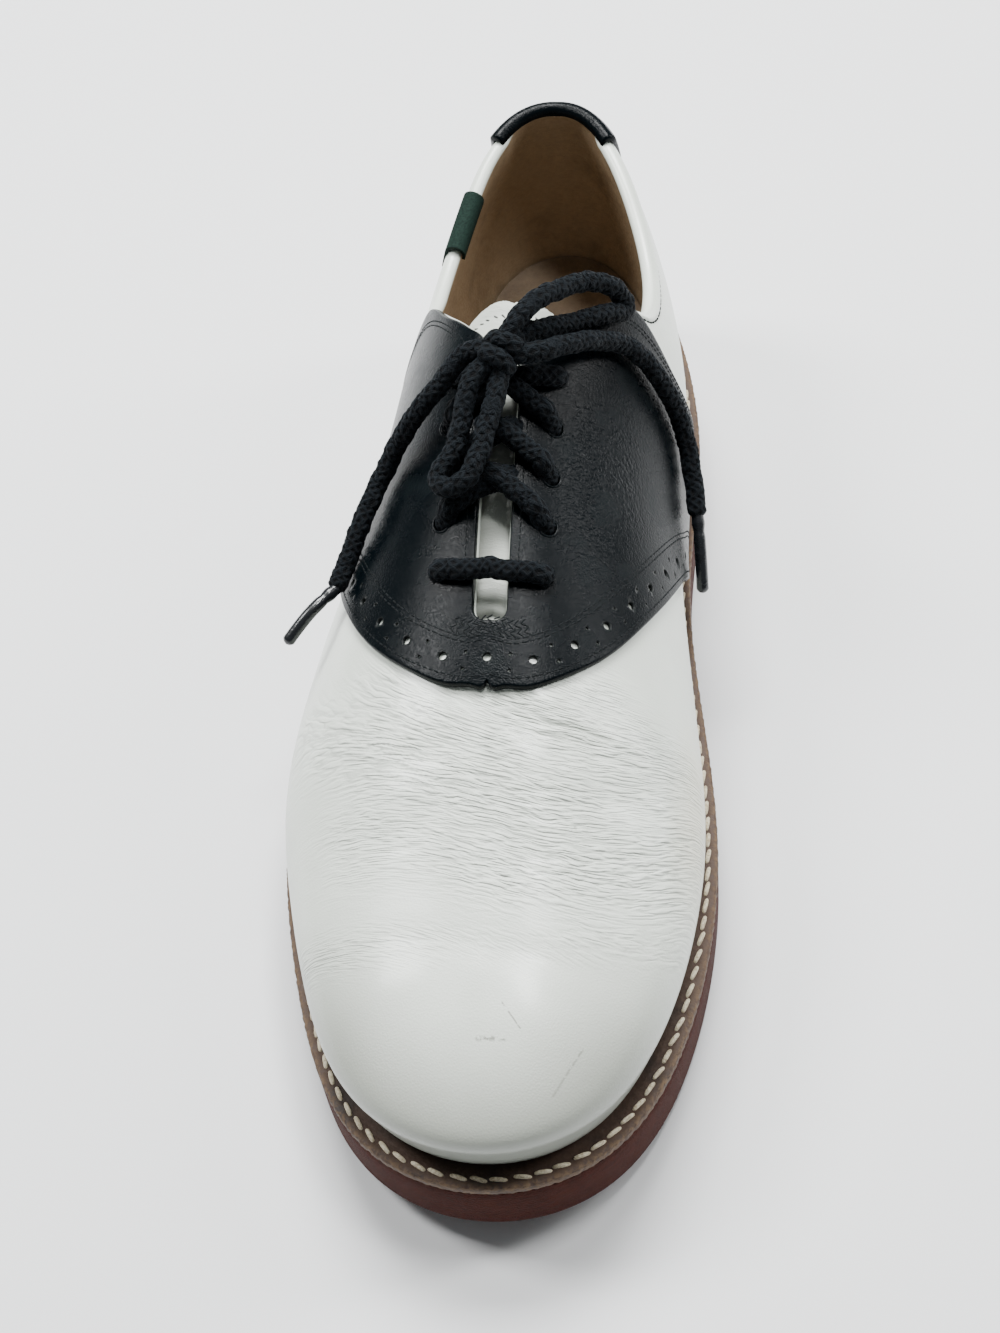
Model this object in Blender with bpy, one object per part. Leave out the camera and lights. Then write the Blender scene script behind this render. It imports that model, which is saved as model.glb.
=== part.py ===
"""Saddle shoe for the right foot, one closed solid for each piece.

Metres, +Z up. The toe points along -Y, the inner side of the foot is +X, and
the shoe stands on z = 0 with its origin under the middle of its length.

A place on the upper is a side (+1 inner, -1 outer) and two angles. Phi goes
round the shoe from the heel back (0) to the toe tip (pi). Psi goes up the
section: 0 on the girth line, the widest one, pi / 2 on the spine along the top,
and below zero down to the feather edge, where the upper meets the welt.
"""
import math
from collections import namedtuple

import bmesh
import bpy
import numpy as np

# Driving dimensions of the last
UPPER_LENGTH = 0.300
BALL_WIDTH = 0.104
INSTEP_HEIGHT = 0.078
GIRTH_HEIGHT = 0.018
FEATHER_TUCK = 0.004
COLLAR_HEIGHT = 0.061

# Sole and heel
SOLE_THICKNESS = 0.015
HEEL_LIFT = 0.0128
TOE_SPRING = 0.0076
EDGE_MARGIN = 0.0044
EDGE_ROUND = 0.0012
WELT_THICKNESS = 0.003
WELT_INNER = 0.006
INSOLE_THICKNESS = 0.004

# Thickness of the upper's layers, and the gap that neighbours keep
WALL = 0.0022
OVERLAY = 0.0014
TONGUE_THICKNESS = 0.003
TAG_THICKNESS = 0.0008
CLEAR = 0.0003
OVERLAY_GAP = 0.0005
TONGUE_GAP = 0.0009

# Throat, saddle and trim
LACE_GAP = 0.008
EYELET_DIAMETER = 0.0042
EYELET_OFFSET = 0.0125
EYELET_PITCH = 0.012
EYELET_ROWS = 5
TONGUE_WIDTH = 0.042
TAG_WIDTH = 0.019
TAG_DROP = 0.007
LACE_DIAMETER = 0.005
TIP_DIAMETER = 0.0032

# Stations are shares of the upper's length from the heel back. Cross sizes are shares
# of the ball width, girth and margin of the sizes with those names, ridge of the instep.
Section = namedtuple("Section", "station inner outer swing girth ridge full margin")
SECTIONS = (
    Section(0.00, 0.500, 0.530, -0.021, 1.00, 1.270, -0.05, 1.00),
    Section(0.12, 0.465, 0.415, -0.021, 1.00, 1.215, -0.11, 1.00),
    Section(0.25, 0.450, 0.380, -0.021, 1.00, 1.130, -0.13, 0.75),
    Section(0.40, 0.415, 0.385, -0.021, 0.94, 0.990, -0.13, 0.45),
    Section(0.55, 0.450, 0.475, -0.006, 0.83, 0.840, -0.09, 0.60),
    Section(0.70, 0.515, 0.555, 0.021, 0.72, 0.670, 0.00, 0.90),
    Section(0.82, 0.560, 0.580, 0.044, 0.67, 0.505, 0.05, 0.95),
    Section(0.92, 0.620, 0.630, 0.059, 0.67, 0.395, 0.06, 0.95),
    Section(1.00, 0.705, 0.710, 0.066, 0.70, 0.300, 0.06, 0.95),
)

# The spine runs between these stations, and the tread is flat between the next two.
SPINE_BACK = 0.115
SPINE_TOE = 0.87
TREAD_BACK = 0.62
TREAD_FRONT = 0.74
HEEL_BREAST = 0.27
FEATHER = math.radians(-65)

# Collar line from the heel back, height as a share of the collar height
CollarPoint = namedtuple("CollarPoint", "station height")
COLLAR = (
    CollarPoint(0.000, 1.00),
    CollarPoint(0.040, 0.985),
    CollarPoint(0.090, 0.93),
    CollarPoint(0.140, 0.87),
    CollarPoint(0.190, 0.84),
    CollarPoint(0.235, 0.865),
)

# Top edge of the facing from the collar to the lacing gap: station on the spine, and
# distance from it as a share of the ball width
EdgePoint = namedtuple("EdgePoint", "station across")
FACING_TOP = (
    EdgePoint(0.322, 0.245),
    EdgePoint(0.341, 0.190),
    EdgePoint(0.357, 0.135),
    EdgePoint(0.370, 0.085),
    EdgePoint(0.379, 0.055),
)
THROAT_TOP = 0.392
THROAT_END = 0.615

# Edges of the saddle on the upper, as angles in degrees. An overlay ends just above
# the feather edge, clear of the welt.
OVERLAY_FOOT = -56.0
AnglePoint = namedtuple("AnglePoint", "phi psi")
SADDLE_FRONT = (
    AnglePoint(79.0, OVERLAY_FOOT),
    AnglePoint(81.5, -30.0),
    AnglePoint(84.5, 2.0),
    AnglePoint(92.5, 25.0),
    AnglePoint(100.0, 41.5),
    AnglePoint(106.5, 55.0),
    AnglePoint(112.5, 70.0),
    AnglePoint(116.5, 81.0),
    AnglePoint(118.3, 87.5),
    AnglePoint(117.3, 90.0),
)
SADDLE_REAR = (
    AnglePoint(58.0, OVERLAY_FOOT),
    AnglePoint(60.5, -35.0),
    AnglePoint(64.0, -3.0),
    AnglePoint(65.5, 15.0),
    AnglePoint(65.0, 28.0),
)

# Heel tab: half width as a share of the ball width, down the back
TabPoint = namedtuple("TabPoint", "drop half")
HEEL_TAB = (
    TabPoint(0.00, 0.222),
    TabPoint(0.12, 0.200),
    TabPoint(0.30, 0.120),
    TabPoint(0.50, 0.085),
    TabPoint(1.00, 0.085),
)

# Stations of the tongue's ends, the first eyelets and the collar tag. The tongue's top
# edge bows forward by a share of the length, and over its last part, a share of its
# width long, the tongue narrows.
TONGUE_TOP = 0.338
TONGUE_END = 0.655
TONGUE_BOW = 0.030
TONGUE_TAPER = 0.3
TONGUE_NARROWING = 0.22
EYELET_FIRST = 0.567
TAG_STATION = 0.138

# A crossing strand runs back by a share of the eyelet pitch, and dips over the gap by a
# share of the lace's diameter.
CROSS_RISE = 0.45
CROSS_DIP = 0.2

# Rows and columns of the meshes. The upper's columns are counted from the heel back to
# the collar's end, the throat's top, its round end, its very end and the toe.
UPPER_ROWS = 13
UPPER_COLUMNS = (11, 7, 8, 2, 12)
ROUND_END = 0.03
EDGE_SAMPLES = 60
SADDLE_COLUMNS = 35
SADDLE_ROWS = 8
TAB_COLUMNS = 9
TAG_COLUMNS = 5
TONGUE_ROWS = 13
TONGUE_COLUMNS = 9
GAP_STATIONS = 8
GAP_TURNS = (25, 45, 65, 80)
SOLE_STEPS = 31
LACE_SIDES = 8
LACE_STEPS = 8
WELD = 0.00001
SHARP_EDGE = math.radians(35)
INSOLE_RIM = math.radians(-45)

# Height of a lace's middle above the upper where it lies on the saddle
LACE_REST = OVERLAY_GAP + OVERLAY + CLEAR + LACE_DIAMETER / 2

# Routes of the loose cords in metres, each from the knot outwards
KNOT = ((-0.0052, 0.0195, 0.1085), (-0.0017, 0.0235, 0.1100), (0.0020, 0.0280, 0.1110))
KNOT_DIAMETER = 0.0085

# Steps along a cord, as shares of its radius
LACE_STEP = 2.2
KNOT_STEP = 0.8
TIP_STEP = 3.0
CORDS = {
    "loop_upper": (
        (0.0040, 0.0330, 0.1160), (0.0066, 0.0374, 0.1157), (0.0104, 0.0434, 0.1130),
        (0.0148, 0.0503, 0.1095), (0.0204, 0.0550, 0.1050), (0.0244, 0.0571, 0.0990),
        (0.0252, 0.0565, 0.0958), (0.0222, 0.0508, 0.0990), (0.0150, 0.0435, 0.1027),
        (0.0094, 0.0371, 0.1068), (0.0066, 0.0340, 0.1086),
    ),
    "loop_lower": (
        (-0.0088, 0.0128, 0.1063), (-0.0100, 0.0060, 0.1015), (-0.0122, -0.0007, 0.0980),
        (-0.0144, -0.0042, 0.0962), (-0.0132, -0.0070, 0.0955), (-0.0091, -0.0078, 0.0968),
        (-0.0056, -0.0041, 0.0992), (-0.0036, 0.0046, 0.1022), (-0.0021, 0.0120, 0.1052),
    ),
    "end_outer": (
        (-0.0123, 0.0228, 0.1080), (-0.0172, 0.0190, 0.1028), (-0.0224, 0.0162, 0.0970),
        (-0.0326, 0.0108, 0.0800), (-0.0376, -0.0008, 0.0732), (-0.0404, -0.0085, 0.0680),
        (-0.0422, -0.0147, 0.0660),
    ),
    "end_inner": (
        (0.0094, 0.0262, 0.1092), (0.0138, 0.0312, 0.1066), (0.0200, 0.0398, 0.0998),
        (0.0273, 0.0474, 0.0902), (0.0351, 0.0472, 0.0777), (0.0400, 0.0443, 0.0652),
        (0.0428, 0.0373, 0.0560), (0.0446, 0.0285, 0.0500),
    ),
}
TIPS = {
    "tip_outer": ((-0.0424, -0.0156, 0.0659), (-0.0472, -0.0225, 0.0655),
                  (-0.0527, -0.0292, 0.0615)),
    "tip_inner": ((0.0447, 0.0281, 0.0497), (0.0460, 0.0200, 0.0430), (0.0468, 0.0140, 0.0360)),
}


def spline(xs, ys):
    """Return a function for the natural cubic spline through the points (xs, ys)."""
    xs = np.asarray(xs, float)
    ys = np.asarray(ys, float)
    count = len(xs)
    step = np.diff(xs)
    matrix = np.eye(count)
    right = np.zeros(count)
    for i in range(1, count - 1):
        matrix[i, i - 1:i + 2] = step[i - 1], 2 * (step[i - 1] + step[i]), step[i]
        right[i] = 6 * ((ys[i + 1] - ys[i]) / step[i] - (ys[i] - ys[i - 1]) / step[i - 1])
    bend = np.linalg.solve(matrix, right)

    def value(x):
        x = np.asarray(x, float)
        i = np.clip(np.searchsorted(xs, x) - 1, 0, count - 2)
        before = x - xs[i]
        after = xs[i + 1] - x
        cubic = (bend[i] * after ** 3 + bend[i + 1] * before ** 3) / (6 * step[i])
        return (cubic + (ys[i] / step[i] - bend[i] * step[i] / 6) * after
                + (ys[i + 1] / step[i] - bend[i + 1] * step[i] / 6) * before)

    return value


STATIONS = [row.station for row in SECTIONS]
INNER = spline(STATIONS, [row.inner * BALL_WIDTH for row in SECTIONS])
OUTER = spline(STATIONS, [row.outer * BALL_WIDTH for row in SECTIONS])
SWING = spline(STATIONS, [row.swing * BALL_WIDTH for row in SECTIONS])
GIRTH = spline(STATIONS, [row.girth * GIRTH_HEIGHT for row in SECTIONS])
RIDGE = spline(STATIONS, [row.ridge * INSTEP_HEIGHT for row in SECTIONS])
FULL = spline(STATIONS, [row.full for row in SECTIONS])
MARGIN = spline(STATIONS, [row.margin * EDGE_MARGIN for row in SECTIONS])


def lift(y):
    """Height of the sole's underside: the heel pitch, the flat tread and the toe spring."""
    station = 0.5 - np.asarray(y) / UPPER_LENGTH
    pitch = np.clip((TREAD_BACK - station) / TREAD_BACK, 0, 1)
    spring = np.clip((station - TREAD_FRONT) / (1 - TREAD_FRONT), 0, None)
    return HEEL_LIFT * pitch ** 2 * (3 - 2 * pitch) + TOE_SPRING * spring ** 2


def welt_top(y):
    """Height of the welt's top face."""
    return lift(y) + SOLE_THICKNESS + CLEAR + WELT_THICKNESS


def station_at(phi):
    """Share of the length that a place round the shoe has."""
    return (1 - np.cos(phi)) / 2


def phi_at(station):
    """Place round the shoe that has a share of the length."""
    return np.arccos(1 - 2 * np.asarray(station))


def spine_phi(station):
    """Place round the shoe whose section meets the spine at a station."""
    return phi_at((np.asarray(station) - SPINE_BACK) / (SPINE_TOE - SPINE_BACK))


def last_point(side, phi, psi):
    """Point of the last's surface at a side and two angles, as an array of xyz."""
    side, phi, psi = np.broadcast_arrays(side, phi, psi)
    foot = station_at(phi)
    spine = SPINE_BACK + (SPINE_TOE - SPINE_BACK) * foot
    half = np.where(side > 0, INNER(foot), OUTER(foot)) * np.sin(phi)
    foot_x = SWING(foot) + side * half
    foot_y = UPPER_LENGTH * (0.5 - foot)
    spine_x = SWING(spine)
    spine_y = UPPER_LENGTH * (0.5 - spine)
    full = FULL(spine)
    up = np.maximum(psi, 0)
    low = np.minimum(psi, 0)
    out = np.cos(up) * (1 + full * np.sin(up) ** 2)
    rise = np.sin(up) * (1 + full * np.cos(up) ** 2)
    girth = GIRTH(foot)
    height = girth + (RIDGE(spine + (foot - spine) * out) - girth) * rise
    height = height + girth * np.sin(low) / -np.sin(FEATHER)
    width = np.hypot(foot_x - spine_x, foot_y - spine_y)
    out = out - FEATHER_TUCK * (1 - np.cos(low)) / width
    x = spine_x + (foot_x - spine_x) * out
    y = spine_y + (foot_y - spine_y) * out
    return np.stack([x, y, height + CLEAR + welt_top(y)], -1)


def skin(side, phi, psi, offset=0.0):
    """Point at a distance outside the last's surface, measured along its normal."""
    step = 1e-4
    near = np.minimum(psi, math.pi / 2 - 5 * step)
    along = last_point(side, phi + step, near) - last_point(side, phi - step, near)
    up = last_point(side, phi, near + step) - last_point(side, phi, near - step)
    normal = np.cross(along, up) * np.sign(side)[..., None]
    normal = -normal / np.linalg.norm(normal, axis=-1, keepdims=True)
    return last_point(side, phi, psi) + normal * np.asarray(offset)[..., None]


def solve_psi(test, side, phi):
    """Psi at which test(point) first turns false on the way up, by halving."""
    low = np.zeros(np.shape(phi))
    high = np.full(np.shape(phi), math.pi / 2)
    for _ in range(40):
        middle = (low + high) / 2
        below = test(last_point(side, phi, middle))
        low = np.where(below, middle, low)
        high = np.where(below, high, middle)
    return low


def at_height(side, station, height):
    """Phi and psi of a point at a height above the welt, at a station of the girth line."""
    phi = phi_at(station)
    psi = solve_psi(lambda point: point[..., 2] - welt_top(point[..., 1]) < height, side, phi)
    return phi, psi


def across(side, station, distance):
    """Phi and psi of a point at a plan distance from the spine at a station."""
    phi = spine_phi(station)
    ridge = last_point(side, phi, math.pi / 2)
    psi = solve_psi(lambda point: np.hypot(*np.moveaxis(point - ridge, -1, 0)[:2]) > distance,
                    side, phi)
    return phi, psi


def through(points, count):
    """Points evenly spaced along the natural spline through (phi, psi) points."""
    points = np.asarray(points)
    chord = np.concatenate([[0], np.cumsum(np.linalg.norm(np.diff(points, axis=0), axis=1))])
    where = np.linspace(0, chord[-1], count)
    return np.stack([spline(chord, points[:, 0])(where), spline(chord, points[:, 1])(where)], -1)


def radians_of(rows):
    """Angle table as an array of (phi, psi) in radians."""
    return np.radians([[row.phi, row.psi] for row in rows])


def facing_edge(side):
    """Top edge of the facing from the collar to the gap, as (phi, psi) points."""
    points = [across(side, row.station, row.across * BALL_WIDTH) for row in FACING_TOP]
    points.append(across(side, THROAT_TOP, LACE_GAP / 2))
    return np.array(points)


def gap_edge(side):
    """Edge of the lacing gap down to its round end on the spine, as (phi, psi) points."""
    radius = LACE_GAP / 2
    turn = radius / UPPER_LENGTH
    stations = np.linspace(THROAT_TOP, THROAT_END - turn, GAP_STATIONS + 1)
    points = [across(side, station, radius) for station in stations[1:]]
    for angle in np.radians(GAP_TURNS):
        station = THROAT_END - turn + turn * math.sin(angle)
        points.append(across(side, station, radius * math.cos(angle)))
    points.append((float(spine_phi(THROAT_END)), math.pi / 2))
    return np.array(points)


def top_line(side):
    """Upper's open edge from the heel back to the end of the throat, as (phi, psi)."""
    collar = [at_height(side, row.station, row.height * COLLAR_HEIGHT) for row in COLLAR]
    rear = through(np.concatenate([collar, facing_edge(side)]), EDGE_SAMPLES)
    return np.concatenate([rear, gap_edge(side)])


def upper_columns(side):
    """Phi of the upper's columns, closer together at the facing and the throat's end."""
    marks = np.degrees([0, phi_at(COLLAR[-1].station), spine_phi(THROAT_TOP),
                        spine_phi(THROAT_END) - ROUND_END, spine_phi(THROAT_END), math.pi])
    parts = [np.linspace(start, end, count, endpoint=False)
             for start, end, count in zip(marks, marks[1:], UPPER_COLUMNS)]
    return np.radians(np.concatenate(parts + [[180.0]]))


def mesh_object(name, build, slot):
    """Object of a bmesh that build fills, closed, welded, faces out, with its material."""
    mesh = bpy.data.meshes.new(name)
    shape = bmesh.new()
    build(shape)
    bmesh.ops.remove_doubles(shape, verts=shape.verts, dist=WELD)
    bmesh.ops.recalc_face_normals(shape, faces=shape.faces)
    shape.to_mesh(mesh)
    shape.free()
    mesh.shade_smooth()
    mesh.set_sharp_from_angle(angle=SHARP_EDGE)
    thing = bpy.data.objects.new(name, mesh)
    bpy.context.scene.collection.objects.link(thing)
    mesh.materials.append(slot)
    return thing


def skinned(shape, grid, closed_top=None, ring=False):
    """Fill a bmesh with a slab between two grids of points of one size.

    grid is a pair of arrays (columns, rows, 3). A ring's last column meets its
    first. closed_top marks columns whose top is welded to another column's top.
    """
    outer, inner = [[[shape.verts.new(point) for point in column] for column in side]
                    for side in grid]
    columns = len(outer)
    rows = len(outer[0])
    if closed_top is None:
        closed_top = [False] * columns
    for i in range(columns if ring else columns - 1):
        j = (i + 1) % columns
        for k in range(rows - 1):
            shape.faces.new((outer[i][k], outer[j][k], outer[j][k + 1], outer[i][k + 1]))
            shape.faces.new((inner[i][k + 1], inner[j][k + 1], inner[j][k], inner[i][k]))
        shape.faces.new((outer[j][0], outer[i][0], inner[i][0], inner[j][0]))
        if not (closed_top[i] and closed_top[j]):
            shape.faces.new((outer[i][-1], outer[j][-1], inner[j][-1], inner[i][-1]))
    if not ring:
        for i in (0, -1):
            for k in range(rows - 1):
                shape.faces.new((outer[i][k], outer[i][k + 1], inner[i][k + 1], inner[i][k]))


def slab(name, places, low, high, slot, **options):
    """Solid between two distances from the last over a grid of (side, phi, psi) places."""
    side, phi, psi = np.moveaxis(np.asarray(places, float), -1, 0)
    grid = skin(side, phi, psi, high), skin(side, phi, psi, low)
    return mesh_object(name, lambda shape: skinned(shape, grid, **options), slot)


def upper(slot):
    """White upper: vamp, quarters and lining in one hollow wall, open on top and below."""
    places = []
    closed = []
    rise = np.linspace(0, 1, UPPER_ROWS)
    end = float(spine_phi(THROAT_END))
    for side in (1, -1):
        line = top_line(side)
        columns = upper_columns(side)
        if side < 0:
            columns = columns[-2:0:-1]
        for phi in columns:
            top = np.interp(phi, line[:, 0], line[:, 1]) if phi < end else math.pi / 2
            places.append([(side, phi, FEATHER + (top - FEATHER) * share) for share in rise])
            closed.append(phi > end - 1e-9)
    return slab("upper", places, -WALL, 0.0, slot, closed_top=closed, ring=True)


def between(side, first, second, shares):
    """Columns of (side, phi, psi) places ruled from one edge to the other."""
    return [[(side, *(start + (stop - start) * share)) for share in shares]
            for start, stop in zip(first, second)]


def saddle(slot):
    """Black saddle over the instep, laid on the upper, open at the throat."""
    halves = []
    for side in (1, -1):
        gap = gap_edge(side)
        front = through(radians_of(SADDLE_FRONT), SADDLE_COLUMNS)
        rear = through(np.concatenate([radians_of(SADDLE_REAR), facing_edge(side)]),
                       SADDLE_COLUMNS - len(gap))
        halves.append(between(side, front, np.concatenate([rear, gap]),
                              np.linspace(0, 1, SADDLE_ROWS)))
    places = halves[0] + halves[1][-2::-1]
    return slab("saddle", places, OVERLAY_GAP, OVERLAY_GAP + OVERLAY, slot)


def heel_tab(slot):
    """Black strip down the heel back, widest at the collar."""
    drops = [row.drop for row in HEEL_TAB]
    line = {side: top_line(side) for side in (1, -1)}
    places = []
    for turn in np.linspace(-1, 1, TAB_COLUMNS):
        side = 1 if turn >= 0 else -1
        column = []
        for drop in np.linspace(1, 0, UPPER_ROWS):
            half = np.interp(drop, drops, [row.half for row in HEEL_TAB]) * BALL_WIDTH
            reach = abs(turn) * half / (float(INNER(0)) + float(OUTER(0))) * 2
            top = np.interp(reach, *line[side].T)
            psi = top + (FEATHER - top) * drop
            column.append((side, reach, max(psi, math.radians(OVERLAY_FOOT))))
        places.append(column)
    return slab("heel_tab", places, OVERLAY_GAP, OVERLAY_GAP + OVERLAY, slot)


def tongue(slot):
    """White tongue under the facings, its top edge bowed forward at the sides."""
    places = []
    taper = TONGUE_TAPER * TONGUE_WIDTH / UPPER_LENGTH
    for station in np.linspace(TONGUE_END, TONGUE_TOP, TONGUE_ROWS):
        near_top = max(0.0, 1 - (station - TONGUE_TOP) / taper)
        half = TONGUE_WIDTH / 2 * (1 - TONGUE_NARROWING * near_top ** 2)
        column = []
        for turn in np.linspace(1, -1, TONGUE_COLUMNS):
            side = 1 if turn >= 0 else -1
            bowed = station + TONGUE_BOW * turn ** 2 * min(1.0, near_top * 2)
            column.append((side, *across(side, bowed, abs(turn) * half)))
        places.append(column)
    top = -WALL - TONGUE_GAP
    return slab("tongue", places, top - TONGUE_THICKNESS, top, slot)


def outline(psi, grow, count=SOLE_STEPS):
    """Plan outline of the last at one psi, grown along its plan normal, as a closed ring.

    grow takes stations and gives distances. The ring goes up the inner side from
    the heel back to the toe tip and back down the outer side.
    """
    phi = np.linspace(0, math.pi, count + 1)
    turn = np.concatenate([phi, phi[-2:0:-1]])
    side = np.concatenate([np.ones(count + 1), -np.ones(count - 1)])
    points = last_point(side, turn, psi)[:, :2]
    along = np.roll(points, -1, 0) - np.roll(points, 1, 0)
    normal = np.stack([-along[:, 1], along[:, 0]], -1)
    normal = normal / np.linalg.norm(normal, axis=1, keepdims=True)
    return points + normal * grow(station_at(turn))[:, None]


def ladder(ring, level):
    """Points of a ring at level(y)."""
    return np.column_stack([ring, level(ring[:, 1])])


def lofted(shape, rings, last):
    """Fill a bmesh with walls between rings, capped across from side to side.

    last is the index on the inner side where the ring turns back.
    """
    verts = [[shape.verts.new(point) for point in ring] for ring in rings]
    count = len(rings[0])
    for low, high in zip(verts, verts[1:]):
        for i in range(count):
            j = (i + 1) % count
            shape.faces.new((low[i], low[j], high[j], high[i]))
    for cap in (verts[0], verts[-1]):
        for i in range(last):
            corners = [cap[i], cap[i + 1], cap[-i - 1], cap[-i]] if i else [cap[0], cap[1], cap[-1]]
            if i + 1 == last and cap[i + 1] is cap[-i - 1]:
                corners = corners[:2] + corners[3:]
            shape.faces.new(corners)


def outsole(slot):
    """Rubber sole from toe to heel, its lower edge rounded off."""
    edge = outline(0.0, MARGIN)
    inset = outline(0.0, lambda station: MARGIN(station) - EDGE_ROUND)
    rings = [ladder(inset, lift), ladder(edge, lambda y: lift(y) + EDGE_ROUND),
             ladder(edge, lambda y: lift(y) + SOLE_THICKNESS)]
    return mesh_object("outsole", lambda shape: lofted(shape, rings, SOLE_STEPS), slot)


def heel(slot):
    """Heel block of the same rubber, its front face straight across."""
    keep = int(np.sum(station_at(np.linspace(0, math.pi, SOLE_STEPS + 1)) < HEEL_BREAST))
    rings = []
    for margin, level in ((-EDGE_ROUND, lambda y: 0.0 * y),
                          (0.0, lambda y: EDGE_ROUND + 0.0 * y),
                          (0.0, lambda y: lift(y) - CLEAR)):
        ring = outline(0.0, lambda station: MARGIN(station) + margin)
        rings.append(ladder(np.concatenate([ring[:keep], ring[-keep + 1:]]), level))
    return mesh_object("heel", lambda shape: lofted(shape, rings, keep - 1), slot)


def welt(slot):
    """Leather welt all round, between the upper and the sole."""
    outer = outline(0.0, lambda station: MARGIN(station))
    inner = outline(FEATHER, lambda station: -WELT_INNER + 0.0 * station)
    low = [ladder(ring, lambda y: lift(y) + SOLE_THICKNESS + CLEAR) for ring in (outer, inner)]
    high = [ladder(ring, welt_top) for ring in (outer, inner)]
    grid = np.stack([high[0], high[1]], 1), np.stack([low[0], low[1]], 1)
    return mesh_object("welt", lambda shape: skinned(shape, grid, ring=True), slot)


def insole(slot):
    """Insole inside the upper, with its lower step inside the welt."""
    step = outline(FEATHER, lambda station: -WELT_INNER - CLEAR + 0.0 * station)
    low = outline(FEATHER, lambda station: -WALL - 2 * CLEAR + 0.0 * station)
    top = outline(INSOLE_RIM, lambda station: -WALL - 3 * CLEAR + 0.0 * station)
    rings = [ladder(step, lambda y: lift(y) + SOLE_THICKNESS + CLEAR),
             ladder(step, lambda y: welt_top(y) + CLEAR),
             ladder(low, lambda y: welt_top(y) + CLEAR),
             ladder(top, lambda y: welt_top(y) + CLEAR + INSOLE_THICKNESS)]
    return mesh_object("insole", lambda shape: lofted(shape, rings, SOLE_STEPS), slot)


def collar_tag(slot):
    """Plain green tab folded over the collar on the outer side."""
    middle = float(phi_at(TAG_STATION))
    reach = TAG_WIDTH / 2 / (UPPER_LENGTH * math.sin(middle) / 2)
    sections = []
    line = top_line(-1)
    for phi in np.linspace(middle - reach, middle + reach, TAG_COLUMNS):
        rim = np.interp(phi, *line.T)
        edge = last_point(-1, phi, rim)
        height = edge[2] - welt_top(edge[1]) - TAG_DROP
        foot = at_height(-1, station_at(phi), height)[1]
        down = last_point(-1, phi, rim - 0.01) - edge
        up = -down / np.linalg.norm(down)
        outside = OVERLAY_GAP
        inside = -WALL - TONGUE_GAP
        section = []
        for psi, offset, over in ((foot, outside + TAG_THICKNESS, 0.0),
                                  (rim, outside + TAG_THICKNESS, outside + TAG_THICKNESS),
                                  (rim, inside - TAG_THICKNESS, outside + TAG_THICKNESS),
                                  (foot, inside - TAG_THICKNESS, 0.0),
                                  (foot, inside, 0.0),
                                  (rim, inside, outside),
                                  (rim, outside, outside),
                                  (foot, outside, 0.0)):
            section.append(skin(np.array(-1), np.array(phi), np.array(psi), offset) + up * over)
        sections.append(section)

    def build(shape):
        rows = [[shape.verts.new(point) for point in section] for section in sections]
        for first, second in zip(rows, rows[1:]):
            for i in range(8):
                j = (i + 1) % 8
                shape.faces.new((first[i], first[j], second[j], second[i]))
        for row in (rows[0], rows[-1]):
            for i, j in ((0, 1), (1, 2), (2, 3)):
                shape.faces.new((row[i], row[j], row[7 - j], row[7 - i]))

    return mesh_object("collar_tag", build, slot)


def swept(shape, path, radius, sides=LACE_SIDES):
    """Fill a bmesh with a round tube along a path, its ends closed flat."""
    path = np.asarray(path)
    along = np.gradient(path, axis=0)
    along = along / np.linalg.norm(along, axis=1, keepdims=True)
    rings = []
    for point, way in zip(path, along):
        right = np.cross(way, (0.0, 0.0, 1.0))
        right = right / np.linalg.norm(right)
        up = np.cross(right, way)
        turns = np.linspace(0, 2 * math.pi, sides, endpoint=False)
        rings.append([shape.verts.new(point + radius * (math.cos(turn) * right
                                                        + math.sin(turn) * up))
                      for turn in turns])
    for low, high in zip(rings, rings[1:]):
        for i in range(sides):
            j = (i + 1) % sides
            shape.faces.new((low[i], low[j], high[j], high[i]))
    shape.faces.new(rings[0][::-1])
    shape.faces.new(rings[-1])


def lace_path(side, start, stop, arch):
    """Path of a strand from an eyelet over the facing, as xyz points.

    It starts at station start on one side, ends past the spine at station stop,
    and arch is how far its height changes on the way over the gap.
    """
    reach = EYELET_OFFSET + LACE_DIAMETER / 4
    points = []
    for share in np.linspace(0, 1, LACE_STEPS):
        distance = reach * (1 - share) - LACE_DIAMETER / 4 * share
        station = start + (stop - start) * share
        near = side if distance >= 0 else -side
        phi, psi = across(near, station, abs(distance))
        over_gap = max(0.0, 1 - max(distance, 0.0) / (LACE_GAP / 2))
        height = LACE_REST + arch * over_gap ** 1.5
        points.append(skin(np.array(near), phi, psi, height))
    return points


def bars(slot):
    """Lace over the throat: a straight bar at each end and a crossing between rows."""
    pitch = EYELET_PITCH / UPPER_LENGTH
    for name, row in (("lace_bar", 0), ("lace_top", EYELET_ROWS - 1)):
        station = EYELET_FIRST - pitch * row
        halves = [lace_path(side, station, station, 0.0)[:-1] for side in (1, -1)]
        middle = skin(np.array(1), spine_phi(station), np.array(math.pi / 2), LACE_REST)
        path = halves[0] + [middle] + halves[1][::-1]
        mesh_object(name, lambda shape: swept(shape, path, LACE_DIAMETER / 2), slot)
    for row in range(1, EYELET_ROWS - 1):
        start = EYELET_FIRST - pitch * row
        strands = []
        for side, word in ((1, "inner"), (-1, "outer")):
            path = lace_path(side, start, start - pitch * CROSS_RISE,
                             -LACE_DIAMETER * CROSS_DIP)
            strands.append(mesh_object(f"lace_cross_{row}_{word}",
                                       lambda shape: swept(shape, path, LACE_DIAMETER / 2), slot))
        strands[0].name = f"lace_cross_{row}"
        strands[1].hide_render = True
        strands[1].display_type = "WIRE"
        union = strands[0].modifiers.new("strands", "BOOLEAN")
        union.operation = "UNION"
        union.object = strands[1]


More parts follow.
